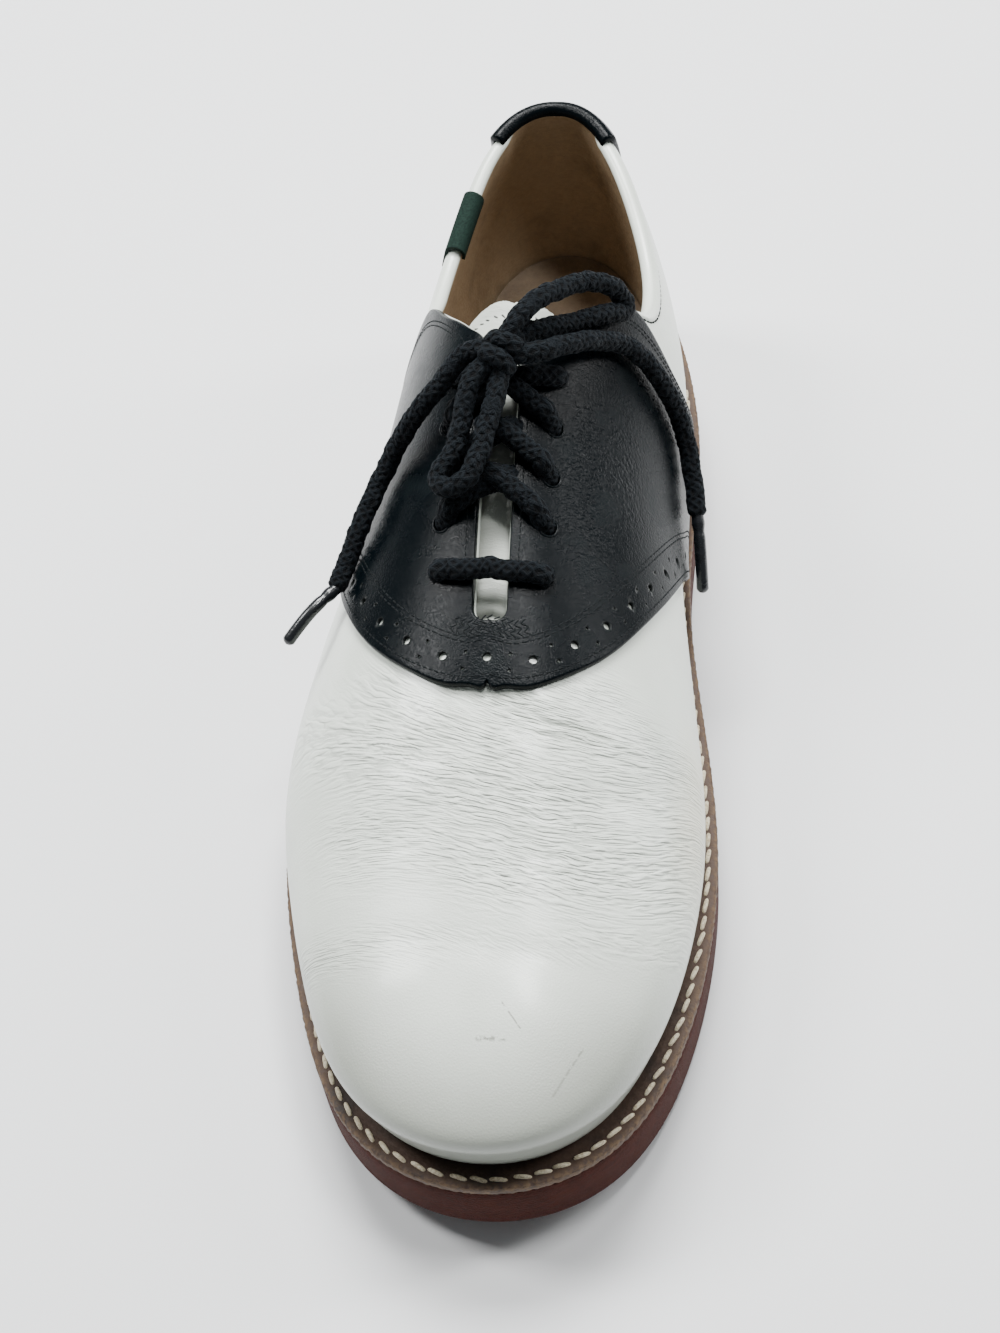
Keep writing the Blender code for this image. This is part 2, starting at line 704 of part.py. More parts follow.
def cord(name, route, diameter, slot, spacing):
    """Loose cord as a round tube along a smooth curve through its route's points.

    spacing is the length of its steps, as a share of the radius.
    """
    route = np.asarray(route)
    chord = np.concatenate([[0], np.cumsum(np.linalg.norm(np.diff(route, axis=0), axis=1))])
    count = max(4, int(round(chord[-1] / (spacing * diameter / 2))))
    where = np.linspace(0, chord[-1], count)
    points = np.stack([spline(chord, route[:, i])(where) for i in range(3)], -1)
    curve = bpy.data.curves.new(name, "CURVE")
    curve.dimensions = "3D"
    curve.bevel_depth = diameter / 2
    curve.bevel_resolution = 2
    curve.use_fill_caps = True
    line = curve.splines.new("POLY")
    line.points.add(count - 1)
    for knot, point in zip(line.points, points):
        knot.co = (*point, 1.0)
    curve.materials.append(slot)
    thing = bpy.data.objects.new(name, curve)
    bpy.context.scene.collection.objects.link(thing)
    return thing


def cords(slot, tip_slot):
    """Knot, loops, ends and their tips."""
    cord("knot", KNOT, KNOT_DIAMETER, slot, KNOT_STEP)
    for name, route in CORDS.items():
        cord(name, route, LACE_DIAMETER, slot, LACE_STEP)
    for name, route in TIPS.items():
        cord(name, route, TIP_DIAMETER, tip_slot, TIP_STEP)


def eyelet_cutter():
    """Punches for the eyelets: a rod through both facings at each row."""
    pitch = EYELET_PITCH / UPPER_LENGTH

    def build(shape):
        for row in range(EYELET_ROWS):
            for side in (1, -1):
                phi, psi = across(side, EYELET_FIRST - pitch * row, EYELET_OFFSET)
                ends = [skin(np.array(side), phi, psi, offset)
                        for offset in (-WALL - CLEAR, OVERLAY_GAP + OVERLAY + CLEAR)]
                swept(shape, ends, EYELET_DIAMETER / 2)

    return mesh_object("eyelet_cutter", build, bpy.data.materials["black_leather"])


def punched(things, cutter):
    """Cut one cutter out of things, and hide it."""
    cutter.hide_render = True
    cutter.display_type = "WIRE"
    for thing in things:
        cut = thing.modifiers.new("eyelets", "BOOLEAN")
        cut.operation = "DIFFERENCE"
        cut.object = cutter


def material(name, color, roughness):
    """Principled material with a base colour and a roughness."""
    slot = bpy.data.materials.new(name)
    slot.use_nodes = True
    shader = slot.node_tree.nodes["Principled BSDF"]
    shader.inputs["Base Color"].default_value = (*color, 1.0)
    shader.inputs["Roughness"].default_value = roughness
    shader.inputs["Metallic"].default_value = 0.0
    return slot


def main():
    """Build every piece of the shoe."""
    for thing in list(bpy.data.objects):
        bpy.data.objects.remove(thing)
    white = material("white_leather", (0.60, 0.62, 0.56), 0.35)
    black = material("black_leather", (0.012, 0.016, 0.018), 0.3)
    rubber = material("brick_rubber", (0.10, 0.03, 0.02), 0.7)
    tan = material("tan_leather", (0.17, 0.09, 0.05), 0.6)
    lace = material("black_cotton", (0.008, 0.010, 0.014), 0.8)
    tip = material("lace_tip", (0.01, 0.01, 0.012), 0.4)
    green = material("green_tape", (0.01, 0.03, 0.02), 0.7)
    outsole(rubber)
    heel(rubber)
    welt(tan)
    insole(tan)
    facings = [upper(white), saddle(black)]
    punched(facings, eyelet_cutter())
    heel_tab(black)
    tongue(white)
    collar_tag(green)
    bars(lace)
    cords(lace, tip)


main()
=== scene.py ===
"""Dress the saddle shoe: finishes, creases, stitches, punched rows, lacing and studio.

Metres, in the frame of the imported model: the toe points along -Y, the inner side
of the foot is +X and the shoe stands on z = 0. A place on the upper is a side and
two angles, as in the part's source: phi goes round from the heel back to the toe
tip, psi goes up from the feather edge over the girth line to the spine.
"""

import logging
import math
from dataclasses import dataclass, field
from enum import Enum
from typing import Callable, Iterable, Sequence

import bmesh
import bpy
import numpy as np
from mathutils import Matrix, Vector


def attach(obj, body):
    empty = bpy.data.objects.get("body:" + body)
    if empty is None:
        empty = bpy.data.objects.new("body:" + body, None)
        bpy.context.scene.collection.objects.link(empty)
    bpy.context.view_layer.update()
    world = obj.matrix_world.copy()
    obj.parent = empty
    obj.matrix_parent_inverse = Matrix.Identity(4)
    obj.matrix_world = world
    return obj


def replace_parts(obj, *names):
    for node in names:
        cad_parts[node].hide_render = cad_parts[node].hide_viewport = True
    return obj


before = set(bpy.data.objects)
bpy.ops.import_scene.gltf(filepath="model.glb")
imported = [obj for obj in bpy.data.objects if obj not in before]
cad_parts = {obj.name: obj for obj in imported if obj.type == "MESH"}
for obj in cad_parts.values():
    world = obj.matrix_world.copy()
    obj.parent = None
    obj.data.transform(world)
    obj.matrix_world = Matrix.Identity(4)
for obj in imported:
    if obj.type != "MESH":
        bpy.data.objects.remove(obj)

Array = np.ndarray
BODY = "root"
MM = 0.001
SPINE = math.pi / 2
log = logging.getLogger("saddle_shoe")


class Mark(Enum):
    """Channels of the marks that a mesh carries for its finish."""

    FLEX = 0
    # Wear on the black leather and the welt; painted shade on the white leather and the tongue.
    WEAR = 1
    TONE = 2


def unit(vectors: Array) -> Array:
    """Vectors divided by their lengths."""
    return vectors / np.maximum(np.linalg.norm(vectors, axis=-1, keepdims=True), 1e-12)


def lengths(points: Array) -> Array:
    """Length along a line up to each of its points."""
    return np.concatenate([[0], np.cumsum(np.linalg.norm(np.diff(points, axis=0), axis=1))])


def swung(turn: Array, first: Array, second: Array) -> Array:
    """Directions cos(turn) first + sin(turn) second, array (places, turns, 3)."""
    return (np.cos(turn)[None, :, None] * first[:, None]
            + np.sin(turn)[None, :, None] * second[:, None])


def smooth(value: Array, low: float, high: float) -> Array:
    """Smooth step: 0 below low, 1 above high, and t * t * (3 - 2 t) between."""
    t = np.clip((np.asarray(value, float) - low) / (high - low), 0, 1)
    return t * t * (3 - 2 * t)


def spline(xs: Sequence[float], ys: Sequence[float]) -> Callable[[Array], Array]:
    """Natural cubic spline through points.

    Args:
        xs: Rising places of the points.
        ys: Values there.

    Returns:
        A function from places to values. Between two points it is the cubic that
        has their values and the second derivatives solved for all points at once.
    """
    xs, ys = np.asarray(xs, float), np.asarray(ys, float)
    count, step = len(xs), np.diff(xs)
    matrix, right = np.eye(count), np.zeros(count)
    inner = np.arange(1, count - 1)
    matrix[inner, inner - 1] = step[:-1]
    matrix[inner, inner] = 2 * (step[:-1] + step[1:])
    matrix[inner, inner + 1] = step[1:]
    right[inner] = 6 * (np.diff(ys)[1:] / step[1:] - np.diff(ys)[:-1] / step[:-1])
    bend = np.linalg.solve(matrix, right)

    def value(x: Array) -> Array:
        """Value of the spline at x.

        Args:
            x: Places.

        Returns:
            Values, an array of the same shape.
        """
        x = np.asarray(x, float)
        i = np.clip(np.searchsorted(xs, x) - 1, 0, count - 2)
        before, after = x - xs[i], xs[i + 1] - x
        cubic = (bend[i] * after ** 3 + bend[i + 1] * before ** 3) / (6 * step[i])
        return (cubic + (ys[i] / step[i] - bend[i] * step[i] / 6) * after
                + (ys[i + 1] / step[i] - bend[i + 1] * step[i] / 6) * before)

    return value


def through(points: Array, count: int) -> Array:
    """Points evenly spaced along the natural spline through points of any dimension.

    Args:
        points: Array (n, d).
        count: How many points to return.

    Returns:
        Array (count, d). Each coordinate is a spline over the chord length.
    """
    points = np.asarray(points, float)
    chord = lengths(points)
    where = np.linspace(0, chord[-1], count)
    return np.stack([spline(chord, column)(where) for column in points.T], -1)


def ripple(place: Array, seed: int, waves: int = 12, longest: float = 0.02) -> Array:
    """Seeded uneven line between about -1 and 1: a sum of sines of falling wavelength.

    Args:
        place: Places along the line.
        seed: Which unevenness it gets.
        waves: How many sines are summed.
        longest: The longest wavelength.

    Returns:
        Heights, an array of the places' shape.
    """
    dice = np.random.default_rng(seed)
    turns = 2 * math.pi * np.asarray(place)[..., None] / (longest * dice.uniform(0.08, 1, waves))
    parts = np.sin(turns + dice.uniform(0, 2 * math.pi, waves)) * dice.uniform(0.4, 1, waves)
    return parts.sum(-1) / math.sqrt(waves)


@dataclass
class Patch:
    """Faces on their way to a mesh: points, quads, flat coordinates and marks."""

    points: Array
    faces: Array
    uv: Array
    marks: Array
    finish: Array

    @staticmethod
    def grid(points: Array, uv: Array | None = None, marks: Array | None = None,
             finish: int | Array = 0, keep: Array | None = None,
             ring: bool = False, tube: bool = False) -> "Patch":
        """Patch of a grid of points.

        Args:
            points: Array (a, b, 3).
            uv: Flat coordinates, array (a, b, 2).
            marks: Values of the marks, array (a, b, 3).
            finish: Material index, one number or an array (faces along a, along b).
            keep: Which faces stay, an array of that same shape.
            ring: Whether the last column meets the first.
            tube: Whether the last row meets the first.

        Returns:
            The patch. A face takes the corners (i, k), (i+1, k), (i+1, k+1), (i, k+1).
        """
        a, b = points.shape[:2]
        ids = np.arange(a * b).reshape(a, b)
        if ring:
            ids = np.concatenate([ids, ids[:1]])
        if tube:
            ids = np.concatenate([ids, ids[:, :1]], 1)
        quads = np.stack([ids[:-1, :-1], ids[1:, :-1], ids[1:, 1:], ids[:-1, 1:]], -1)
        index = np.broadcast_to(finish, quads.shape[:2])
        if keep is None:
            keep = np.ones(quads.shape[:2], bool)
        return Patch.loose(points.reshape(-1, 3), quads[keep],
                           None if uv is None else uv.reshape(-1, 2),
                           None if marks is None else marks.reshape(-1, 3), index[keep])

    @staticmethod
    def loose(points: Array, faces: Array, uv: Array | None = None,
              marks: Array | None = None, finish: Array | int = 0) -> "Patch":
        """Patch of points and quads, with zeros for what is left out.

        Args:
            points: Array (n, 3).
            faces: Corners of each quad, array (m, 4).
            uv: Flat coordinates, array (n, 2).
            marks: Values of the marks, array (n, 3).
            finish: Material index, one number or one for each face.

        Returns:
            The patch.
        """
        return Patch(points, faces,
                     np.zeros((len(points), 2)) if uv is None else uv,
                     np.zeros((len(points), 3)) if marks is None else marks,
                     np.broadcast_to(finish, len(faces)).copy())

    @staticmethod
    def join(patches: Iterable["Patch"]) -> "Patch":
        """One patch of several.

        Args:
            patches: What is put together.

        Returns:
            One patch, its faces counted on from those before.
        """
        patches = list(patches)
        starts = np.cumsum([0] + [len(patch.points) for patch in patches[:-1]])
        return Patch(np.concatenate([patch.points for patch in patches]),
                     np.concatenate([patch.faces + start
                                     for patch, start in zip(patches, starts)]),
                     np.concatenate([patch.uv for patch in patches]),
                     np.concatenate([patch.marks for patch in patches]),
                     np.concatenate([patch.finish for patch in patches]))

    def thing(self, name: str, finishes: Sequence[bpy.types.Material], slot: str,
              sharp: float = 40.0) -> bpy.types.Object:
        """Make the mesh object, its doubles merged and its faces turned out.

        Args:
            name: Name of the piece.
            finishes: Materials in the order of the patch's indices.
            slot: Not used.
            sharp: Angle in degrees above which an edge stays sharp.

        Returns:
            The object, riding on the shoe's body. Corners that fall together are
            merged, faces with fewer than three corners are dropped, and all faces
            are turned round where the signed volume comes out negative.
        """
        keys = np.round(self.points / 2e-6).astype(np.int64)
        _, first, ids = np.unique(keys, axis=0, return_index=True, return_inverse=True)
        corners = ids.reshape(-1)[self.faces]
        fresh = corners != np.roll(corners, -1, axis=1)
        counts = fresh.sum(1)
        good = counts >= 3
        loops = corners[good][fresh[good]]
        source = self.faces[good][fresh[good]]
        faces = np.split(loops, np.cumsum(counts[good])[:-1])
        mesh = bpy.data.meshes.new(name)
        mesh.from_pydata(self.points[first], [], [face.tolist() for face in faces])
        mesh.uv_layers.new(name="flow").uv.foreach_set(
            "vector", self.uv[source].astype(np.float32).ravel())
        marks = mesh.attributes.new("marks", "FLOAT_COLOR", "POINT")
        marks.data.foreach_set("color", np.column_stack(
            [self.marks[first], np.ones(len(first))]).astype(np.float32).ravel())
        mesh.polygons.foreach_set("material_index", self.finish[good].astype(np.int32))
        one, two, three = (self.points[self.faces[:, i]] for i in (0, 1, 2))
        four = self.points[self.faces[:, 3]]
        volume = np.einsum("ij,ij->", one, np.cross(two, three) + np.cross(three, four))
        if volume < 0:
            mesh.flip_normals()
        mesh.validate(clean_customdata=False)
        mesh.shade_smooth()
        mesh.set_sharp_from_angle(angle=math.radians(sharp))
        thing = bpy.data.objects.new(name, mesh)
        bpy.context.scene.collection.objects.link(thing)
        for finish in finishes:
            mesh.materials.append(finish)
        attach(thing, BODY)
        log.info("%s: %d faces", name, len(mesh.polygons))
        return thing


def shell(outer: Array, inner: Array, uv: Array | None = None, marks: Array | None = None,
          open_top: Array | None = None, ring: bool = False, inner_finish: int = 0,
          outer_finish: int | Array = 0, roll: int = 0) -> Patch:
    """Closed wall between an outer and an inner grid.

    Args:
        outer: Array (a, b, 3), rows from the foot up.
        inner: Array (a, c, 3), rows from the foot up.
        uv: Flat coordinates of the outer grid, array (a, b, 2).
        marks: Marks of the outer grid, array (a, b, 3).
        open_top: Which columns have a free top edge. The rest meet another column there.
        ring: Whether the last column meets the first.
        inner_finish: Material index of the inner wall.
        outer_finish: Material index of the outer wall.
        roll: How many of the outer rows belong to the rolled top edge, which only the
            columns with a free top have.

    Returns:
        The patch: both walls, the foot, the free top and, unless it is a ring, both ends.
    """
    a, b = outer.shape[:2]
    c = inner.shape[1]
    if open_top is None:
        open_top = np.ones(a, bool)
    nxt = np.roll(open_top, -1) if ring else open_top[1:]
    both = (open_top if ring else open_top[:-1]) & nxt
    keep = np.ones((len(both), b - 1), bool)
    if roll:
        keep[:, b - 1 - roll:] = both[:, None]
    outside = Patch.grid(outer, uv, marks, outer_finish, keep, ring)
    inside = Patch.grid(inner[:, ::-1], finish=inner_finish, ring=ring)
    foot = Patch.grid(np.stack([inner[:, 0], outer[:, 0]], 1), finish=inner_finish, ring=ring)
    top = Patch.grid(np.stack([outer[:, -1], inner[:, -1]], 1), finish=inner_finish,
                     keep=both[:, None], ring=ring)
    parts = [outside, inside, foot, top]
    if not ring:
        shares = np.linspace(0, 1, max(b, c))
        for i in (0, -1):
            rim = [np.stack([np.interp(shares, np.linspace(0, 1, len(wall)), wall[:, k])
                             for k in range(3)], -1) for wall in (outer[i], inner[i])]
            if b == c:
                rim = [outer[i], inner[i]]
            parts.append(Patch.grid(np.stack(rim if i else rim[::-1], 0)))
    return Patch.join(parts)


@dataclass
class Last:
    """Surface of the upper, with the sizes of the part's source.

    The sections are rows of station, inner and outer half width, swing, girth height,
    ridge height, fullness and margin, as shares of the sizes that they belong to.
    """

    length: float = 0.300
    ball: float = 0.104
    instep: float = 0.078
    girth: float = 0.018
    tuck: float = 0.004
    sole: float = 0.015
    heel_lift: float = 0.0128
    spring: float = 0.0076
    margin: float = 0.0044
    welt: float = 0.003
    clear: float = 0.0003
    spine_back: float = 0.115
    spine_toe: float = 0.87
    tread_back: float = 0.62
    tread_front: float = 0.74
    feather: float = math.radians(-65)
    sections: tuple = (
        (0.00, 0.500, 0.530, -0.021, 1.00, 1.270, -0.05, 1.00),
        (0.12, 0.465, 0.415, -0.021, 1.00, 1.215, -0.11, 1.00),
        (0.25, 0.450, 0.380, -0.021, 1.00, 1.130, -0.13, 0.75),
        (0.40, 0.415, 0.385, -0.021, 0.94, 0.990, -0.13, 0.45),
        (0.55, 0.450, 0.475, -0.006, 0.83, 0.840, -0.09, 0.60),
        (0.70, 0.515, 0.555, 0.021, 0.72, 0.670, 0.00, 0.90),
        (0.82, 0.560, 0.580, 0.044, 0.67, 0.505, 0.05, 0.95),
        (0.92, 0.620, 0.630, 0.059, 0.67, 0.395, 0.06, 0.95),
        (1.00, 0.705, 0.710, 0.066, 0.70, 0.300, 0.06, 0.95),
    )
    curves: dict = field(init=False)

    def __post_init__(self) -> None:
        """Run a spline through each column of the sections."""
        table = np.array(self.sections).T
        scales = (self.ball, self.ball, self.ball, self.girth, self.instep, 1.0, self.margin)
        names = ("inner", "outer", "swing", "girth", "ridge", "full", "margin")
        self.curves = {name: spline(table[0], column * scale)
                       for name, column, scale in zip(names, table[1:], scales)}

    def lift(self, y: Array) -> Array:
        """Height of the sole's underside: heel pitch, flat tread and toe spring.

        Args:
            y: Plan coordinates along the shoe.

        Returns:
            Heights, zero where the tread is flat.
        """
        station = 0.5 - np.asarray(y) / self.length
        pitch = np.clip((self.tread_back - station) / self.tread_back, 0, 1)
        spring = np.clip((station - self.tread_front) / (1 - self.tread_front), 0, None)
        return self.heel_lift * pitch ** 2 * (3 - 2 * pitch) + self.spring * spring ** 2

    def welt_top(self, y: Array) -> Array:
        """Height of the welt's top face."""
        return self.lift(y) + self.sole + self.clear + self.welt

    def phi_at(self, station: Array) -> Array:
        """Place round the shoe with a share of the length."""
        return np.arccos(1 - 2 * np.asarray(station))

    def spine_phi(self, station: Array) -> Array:
        """Place round the shoe whose section meets the spine at a station."""
        return self.phi_at((np.asarray(station) - self.spine_back)
                           / (self.spine_toe - self.spine_back))

    def point(self, side: Array, phi: Array, psi: Array) -> Array:
        """Point of the surface.

        Args:
            side: +1 for the inner side, -1 for the outer.
            phi: Place round the shoe.
            psi: Place up the section.

        Returns:
            Array (..., 3). A section runs from a point on the girth outline to one on
            the spine. Its reach is cos(psi) and its rise sin(psi), both swelled by the
            fullness, and below the girth it tucks in towards the feather edge.
        """
        side, phi, psi = np.broadcast_arrays(side, phi, psi)
        curves = self.curves
        foot = (1 - np.cos(phi)) / 2
        spine = self.spine_back + (self.spine_toe - self.spine_back) * foot
        half = np.where(side > 0, curves["inner"](foot), curves["outer"](foot)) * np.sin(phi)
        foot_x, foot_y = curves["swing"](foot) + side * half, self.length * (0.5 - foot)
        spine_x, spine_y = curves["swing"](spine), self.length * (0.5 - spine)
        full = curves["full"](spine)
        up, low = np.maximum(psi, 0), np.minimum(psi, 0)
        out = np.cos(up) * (1 + full * np.sin(up) ** 2)
        rise = np.sin(up) * (1 + full * np.cos(up) ** 2)
        girth = curves["girth"](foot)
        height = girth + (curves["ridge"](spine + (foot - spine) * out) - girth) * rise
        height = height + girth * np.sin(low) / -math.sin(self.feather)
        width = np.hypot(foot_x - spine_x, foot_y - spine_y)
        out = out - self.tuck * (1 - np.cos(low)) / width
        x, y = spine_x + (foot_x - spine_x) * out, spine_y + (foot_y - spine_y) * out
        return np.stack([x, y, height + self.clear + self.welt_top(y)], -1)

    def slopes(self, side: Array, phi: Array, psi: Array) -> tuple[Array, Array]:
        """Derivatives of the point along phi and psi, by central differences.

        Args:
            side: +1 for the inner side, -1 for the outer.
            phi: Place round the shoe.
            psi: Place up the section.

        Returns:
            Two arrays (..., 3): the change with phi and the change with psi.
        """
        step = 1e-4
        phi = np.clip(phi, 2 * step, math.pi - 2 * step)
        near = np.minimum(psi, SPINE - 5 * step)
        along = self.point(side, phi + step, near) - self.point(side, phi - step, near)
        up = self.point(side, phi, near + step) - self.point(side, phi, near - step)
        return along / (2 * step), up / (2 * step)

    def normal(self, side: Array, phi: Array, psi: Array) -> Array:
        """Outward unit normal: the cross product of the two derivatives."""
        along, up = self.slopes(side, phi, psi)
        return unit(-np.cross(along, up) * np.sign(side)[..., None])

    def skin(self, side: Array, phi: Array, psi: Array, offset: Array = 0.0) -> Array:
        """Point at a distance outside the surface along its normal."""
        side, phi, psi, offset = np.broadcast_arrays(side, phi, psi, offset)
        return self.point(side, phi, psi) + self.normal(side, phi, psi) * offset[..., None]

    def solve_psi(self, test: Callable[[Array], Array], side: Array, phi: Array) -> Array:
        """Psi at which test(point) first turns false on the way up, by halving.

        Args:
            test: What is asked of a point, true below the place that is sought.
            side: +1 for the inner side, -1 for the outer.
            phi: Place round the shoe.

        Returns:
            Places up the section, an array of phi's shape.
        """
        low, high = np.zeros(np.shape(phi)), np.full(np.shape(phi), SPINE)
        for _ in range(36):
            middle = (low + high) / 2
            below = test(self.point(side, phi, middle))
            low, high = np.where(below, middle, low), np.where(below, high, middle)
        return low

    def at_height(self, side: Array, station: Array, height: Array) -> tuple[Array, Array]:
        """Phi and psi of a point at a height above the welt, at a girth station.

        Args:
            side: +1 for the inner side, -1 for the outer.
            station: Share of the length, from the heel back.
            height: Height above the welt.

        Returns:
            Both places, arrays of the station's shape.
        """
        phi = self.phi_at(station)

        def below(point: Array) -> Array:
            """Whether the point lies lower than the height."""
            return point[..., 2] - self.welt_top(point[..., 1]) < height

        return phi, self.solve_psi(below, side, phi)

    def across(self, side: Array, station: Array, distance: Array) -> tuple[Array, Array]:
        """Phi and psi at a plan distance from the spine at a spine station.

        Args:
            side: +1 for the inner side, -1 for the outer.
            station: Share of the length on the spine.
            distance: How far from the spine, in plan.

        Returns:
            Both places, arrays of the distance's shape.
        """
        side, station, distance = np.broadcast_arrays(side, station, distance)
        phi = self.spine_phi(station)
        ridge = self.point(side, phi, SPINE)

        def beyond(point: Array) -> Array:
            """Whether the point lies further from the spine than the distance."""
            return np.hypot(*np.moveaxis(point - ridge, -1, 0)[:2]) > distance

        return phi, self.solve_psi(beyond, side, phi)

    def offset_line(self, line: Array, distance: float, steps: int = 12) -> Array:
        """Move a line on the surface sideways by a distance, staying on the surface.

        Args:
            line: Array (n, 3) of side, phi and psi. The line may cross the spine.
            distance: How far, positive to the left of the line seen from inside the shoe.
            steps: In how many small moves.

        Returns:
            Array (n, 3). In each move every point goes along tangent x normal, which
            is turned into changes of phi and psi by least squares on the two
            derivatives. A point that goes over the spine changes sides. Averages of
            neighbours keep the line from folding where it shrinks.
        """
        line = np.array(line, float)
        for _ in range(steps):
            side, phi, psi = line.T
            points = self.point(side, phi, psi)
            tangent = unit(np.gradient(points, axis=0))
            move = np.cross(tangent, self.normal(side, phi, psi)) * distance / steps
            along, up = self.slopes(side, phi, psi)
            aa, au, uu = (np.sum(p * q, -1) for p, q in ((along, along), (along, up), (up, up)))
            am, um = np.sum(along * move, -1), np.sum(up * move, -1)
            scale = aa * uu - au ** 2
            turn = phi + (uu * am - au * um) / scale
            lean = side * (SPINE - psi - (aa * um - au * am) / scale)
            for column in (turn, lean):
                for _ in range(8):
                    column[1:-1] = (column[:-2] + 2 * column[1:-1] + column[2:]) / 4
            line = np.column_stack([np.where(lean >= 0, 1.0, -1.0), turn, SPINE - np.abs(lean)])
        return line

    def outline(self, psi: float, grow: Callable[[Array], Array], count: int) -> Array:
        """Plan outline at one psi, grown along its plan normal, as a closed ring.

        Args:
            psi: Level of the outline.
            grow: Distance as a function of the station.
            count: Steps on each side.

        Returns:
            Array (2 * count, 2), up the inner side from the heel and back down the outer.
        """
        phi = np.linspace(0, math.pi, count + 1)
        turn = np.concatenate([phi, phi[-2:0:-1]])
        side = np.concatenate([np.ones(count + 1), -np.ones(count - 1)])
        points = self.point(side, turn, psi)[:, :2]
        along = np.roll(points, -1, 0) - np.roll(points, 1, 0)
        normal = unit(np.stack([-along[:, 1], along[:, 0]], -1))
        return points + normal * grow((1 - np.cos(turn)) / 2)[:, None]


@dataclass
class Pattern:
    """Edges of the upper's pieces on the last, as in the part's source."""

    last: Last
    collar_height: float = 0.061
    throat_top: float = 0.392
    throat_end: float = 0.615
    lace_gap: float = 0.008
    eyelet_first: float = 0.567
    eyelet_pitch: float = 0.012
    eyelet_offset: float = 0.0125
    eyelet_rows: int = 5
    collar: tuple = ((0.0, 1.0), (0.04, 0.985), (0.09, 0.93), (0.14, 0.87), (0.19, 0.84),
                     (0.235, 0.865))
    facing_top: tuple = ((0.322, 0.245), (0.341, 0.190), (0.357, 0.135), (0.370, 0.085),
                         (0.379, 0.055))
    saddle_front: tuple = ((79.0, -56.0), (81.5, -30.0), (84.5, 2.0), (92.5, 25.0),
                           (100.0, 41.5), (106.5, 55.0), (112.6, 70.0), (116.2, 81.0),
                           (117.4, 86.5), (117.8, 89.2), (117.2, 90.0))
    saddle_rear: tuple = ((58.0, -56.0), (60.5, -35.0), (64.0, -3.0), (65.5, 15.0),
                          (65.0, 28.0))
    heel_tab: tuple = ((0.0, 0.222), (0.12, 0.20), (0.30, 0.12), (0.50, 0.085), (1.0, 0.085))

    def facing_edge(self, side: int) -> Array:
        """Top edge of the facing from the collar to the gap, array (6, 2) of phi, psi.

        Args:
            side: +1 for the inner side, -1 for the outer.

        Returns:
            The edge, with half the lacing gap as its last distance.
        """
        table = np.array(self.facing_top + ((self.throat_top, 0.0),))
        distance = table[:, 1] * self.last.ball
        distance[-1] = self.lace_gap / 2
        return np.stack(self.last.across(side, table[:, 0], distance), -1)

    def gap_edge(self, side: int, straight: int = 48, round_end: int = 20) -> Array:
        """Edge of the lacing gap down to its round end on the spine, array (n, 2).

        Args:
            side: +1 for the inner side, -1 for the outer.
            straight: Points along the straight part.
            round_end: Points round the end.

        Returns:
            The edge, from the facing's top to the spine.
        """
        radius = self.lace_gap / 2
        turn = radius / self.last.length
        stations = np.linspace(self.throat_top, self.throat_end - turn, straight + 1)[1:]
        angle = np.linspace(0, SPINE, round_end + 1)[1:]
        station = np.concatenate([stations, self.throat_end - turn + turn * np.sin(angle)])
        distance = np.concatenate([np.full(straight, radius), radius * np.cos(angle)])
        edge = np.stack(self.last.across(side, station, distance), -1)
        edge[-1, 1] = SPINE
        return edge

    def top_line(self, side: int) -> Array:
        """Open edge of the upper from the heel back to the throat's end, array (n, 2).

        Args:
            side: +1 for the inner side, -1 for the outer.

        Returns:
            The edge: collar, facing and gap in one line.
        """
        table = np.array(self.collar)
        collar = np.stack(self.last.at_height(side, table[:, 0],
                                              table[:, 1] * self.collar_height), -1)
        rear = through(np.concatenate([collar, self.facing_edge(side)]), 240)
        return np.concatenate([rear, self.gap_edge(side)])

    def front_line(self, count: int, notched: bool = True) -> Array:
        """Front edge of the saddle from the welt to the spine, array (count, 2)."""
        table = self.saddle_front if notched else (*self.saddle_front[:-1], (117.9, 90.0))
        return through(np.radians(table), count)

    def rear_line(self, side: int) -> Array:
        """Rear edge of the saddle and the gap's edge after it, array (n, 2)."""
        points = np.concatenate([np.radians(self.saddle_rear), self.facing_edge(side)])
        return np.concatenate([through(points, 104), self.gap_edge(side, 36, 20)])

    def eyelet(self, row: int, side: int) -> tuple[float, float]:
        """Phi and psi of an eyelet, row 0 nearest the toe.

        Args:
            row: Row of the eyelet, 0 nearest the toe.
            side: +1 for the inner side, -1 for the outer.

        Returns:
            Phi and psi of the eyelet's middle.
        """
        station = self.eyelet_first - self.eyelet_pitch / self.last.length * row
        phi, psi = self.last.across(side, station, self.eyelet_offset)
        return float(phi), float(psi)


STRANDS, SLANT = 6, 7
CROSSED = 0.35
LACE_STEP = 0.36 * MM
LACE_CALM = 4 * MM
LACE_WANDER = 0.22 * MM
LACE_UNEVEN = 0.035
LACE_RELIEF = 0.22 * MM


def woven(around: Array, along: Array) -> Array:
    """Height of a braid's surface, -1 to 1: two sets of slanting strands, the higher on top.

    Args:
        around: Turns round the lace.
        along: Length over circumference.

    Returns:
        The larger of the two waves sin 2 pi (+-strands around + slant along), each
        lifted and sunk by a share of the other set's half wave.
    """
    sets = []
    for sign, shift in ((1, 0.0), (-1, 0.5)):
        wave = np.sin(2 * math.pi * (sign * STRANDS * around + SLANT * along))
        lift = np.sin(math.pi * (-sign * STRANDS * around + SLANT * along) + shift)
        sets.append(wave + CROSSED * lift)
    return np.maximum(*sets) / (1 + CROSSED)


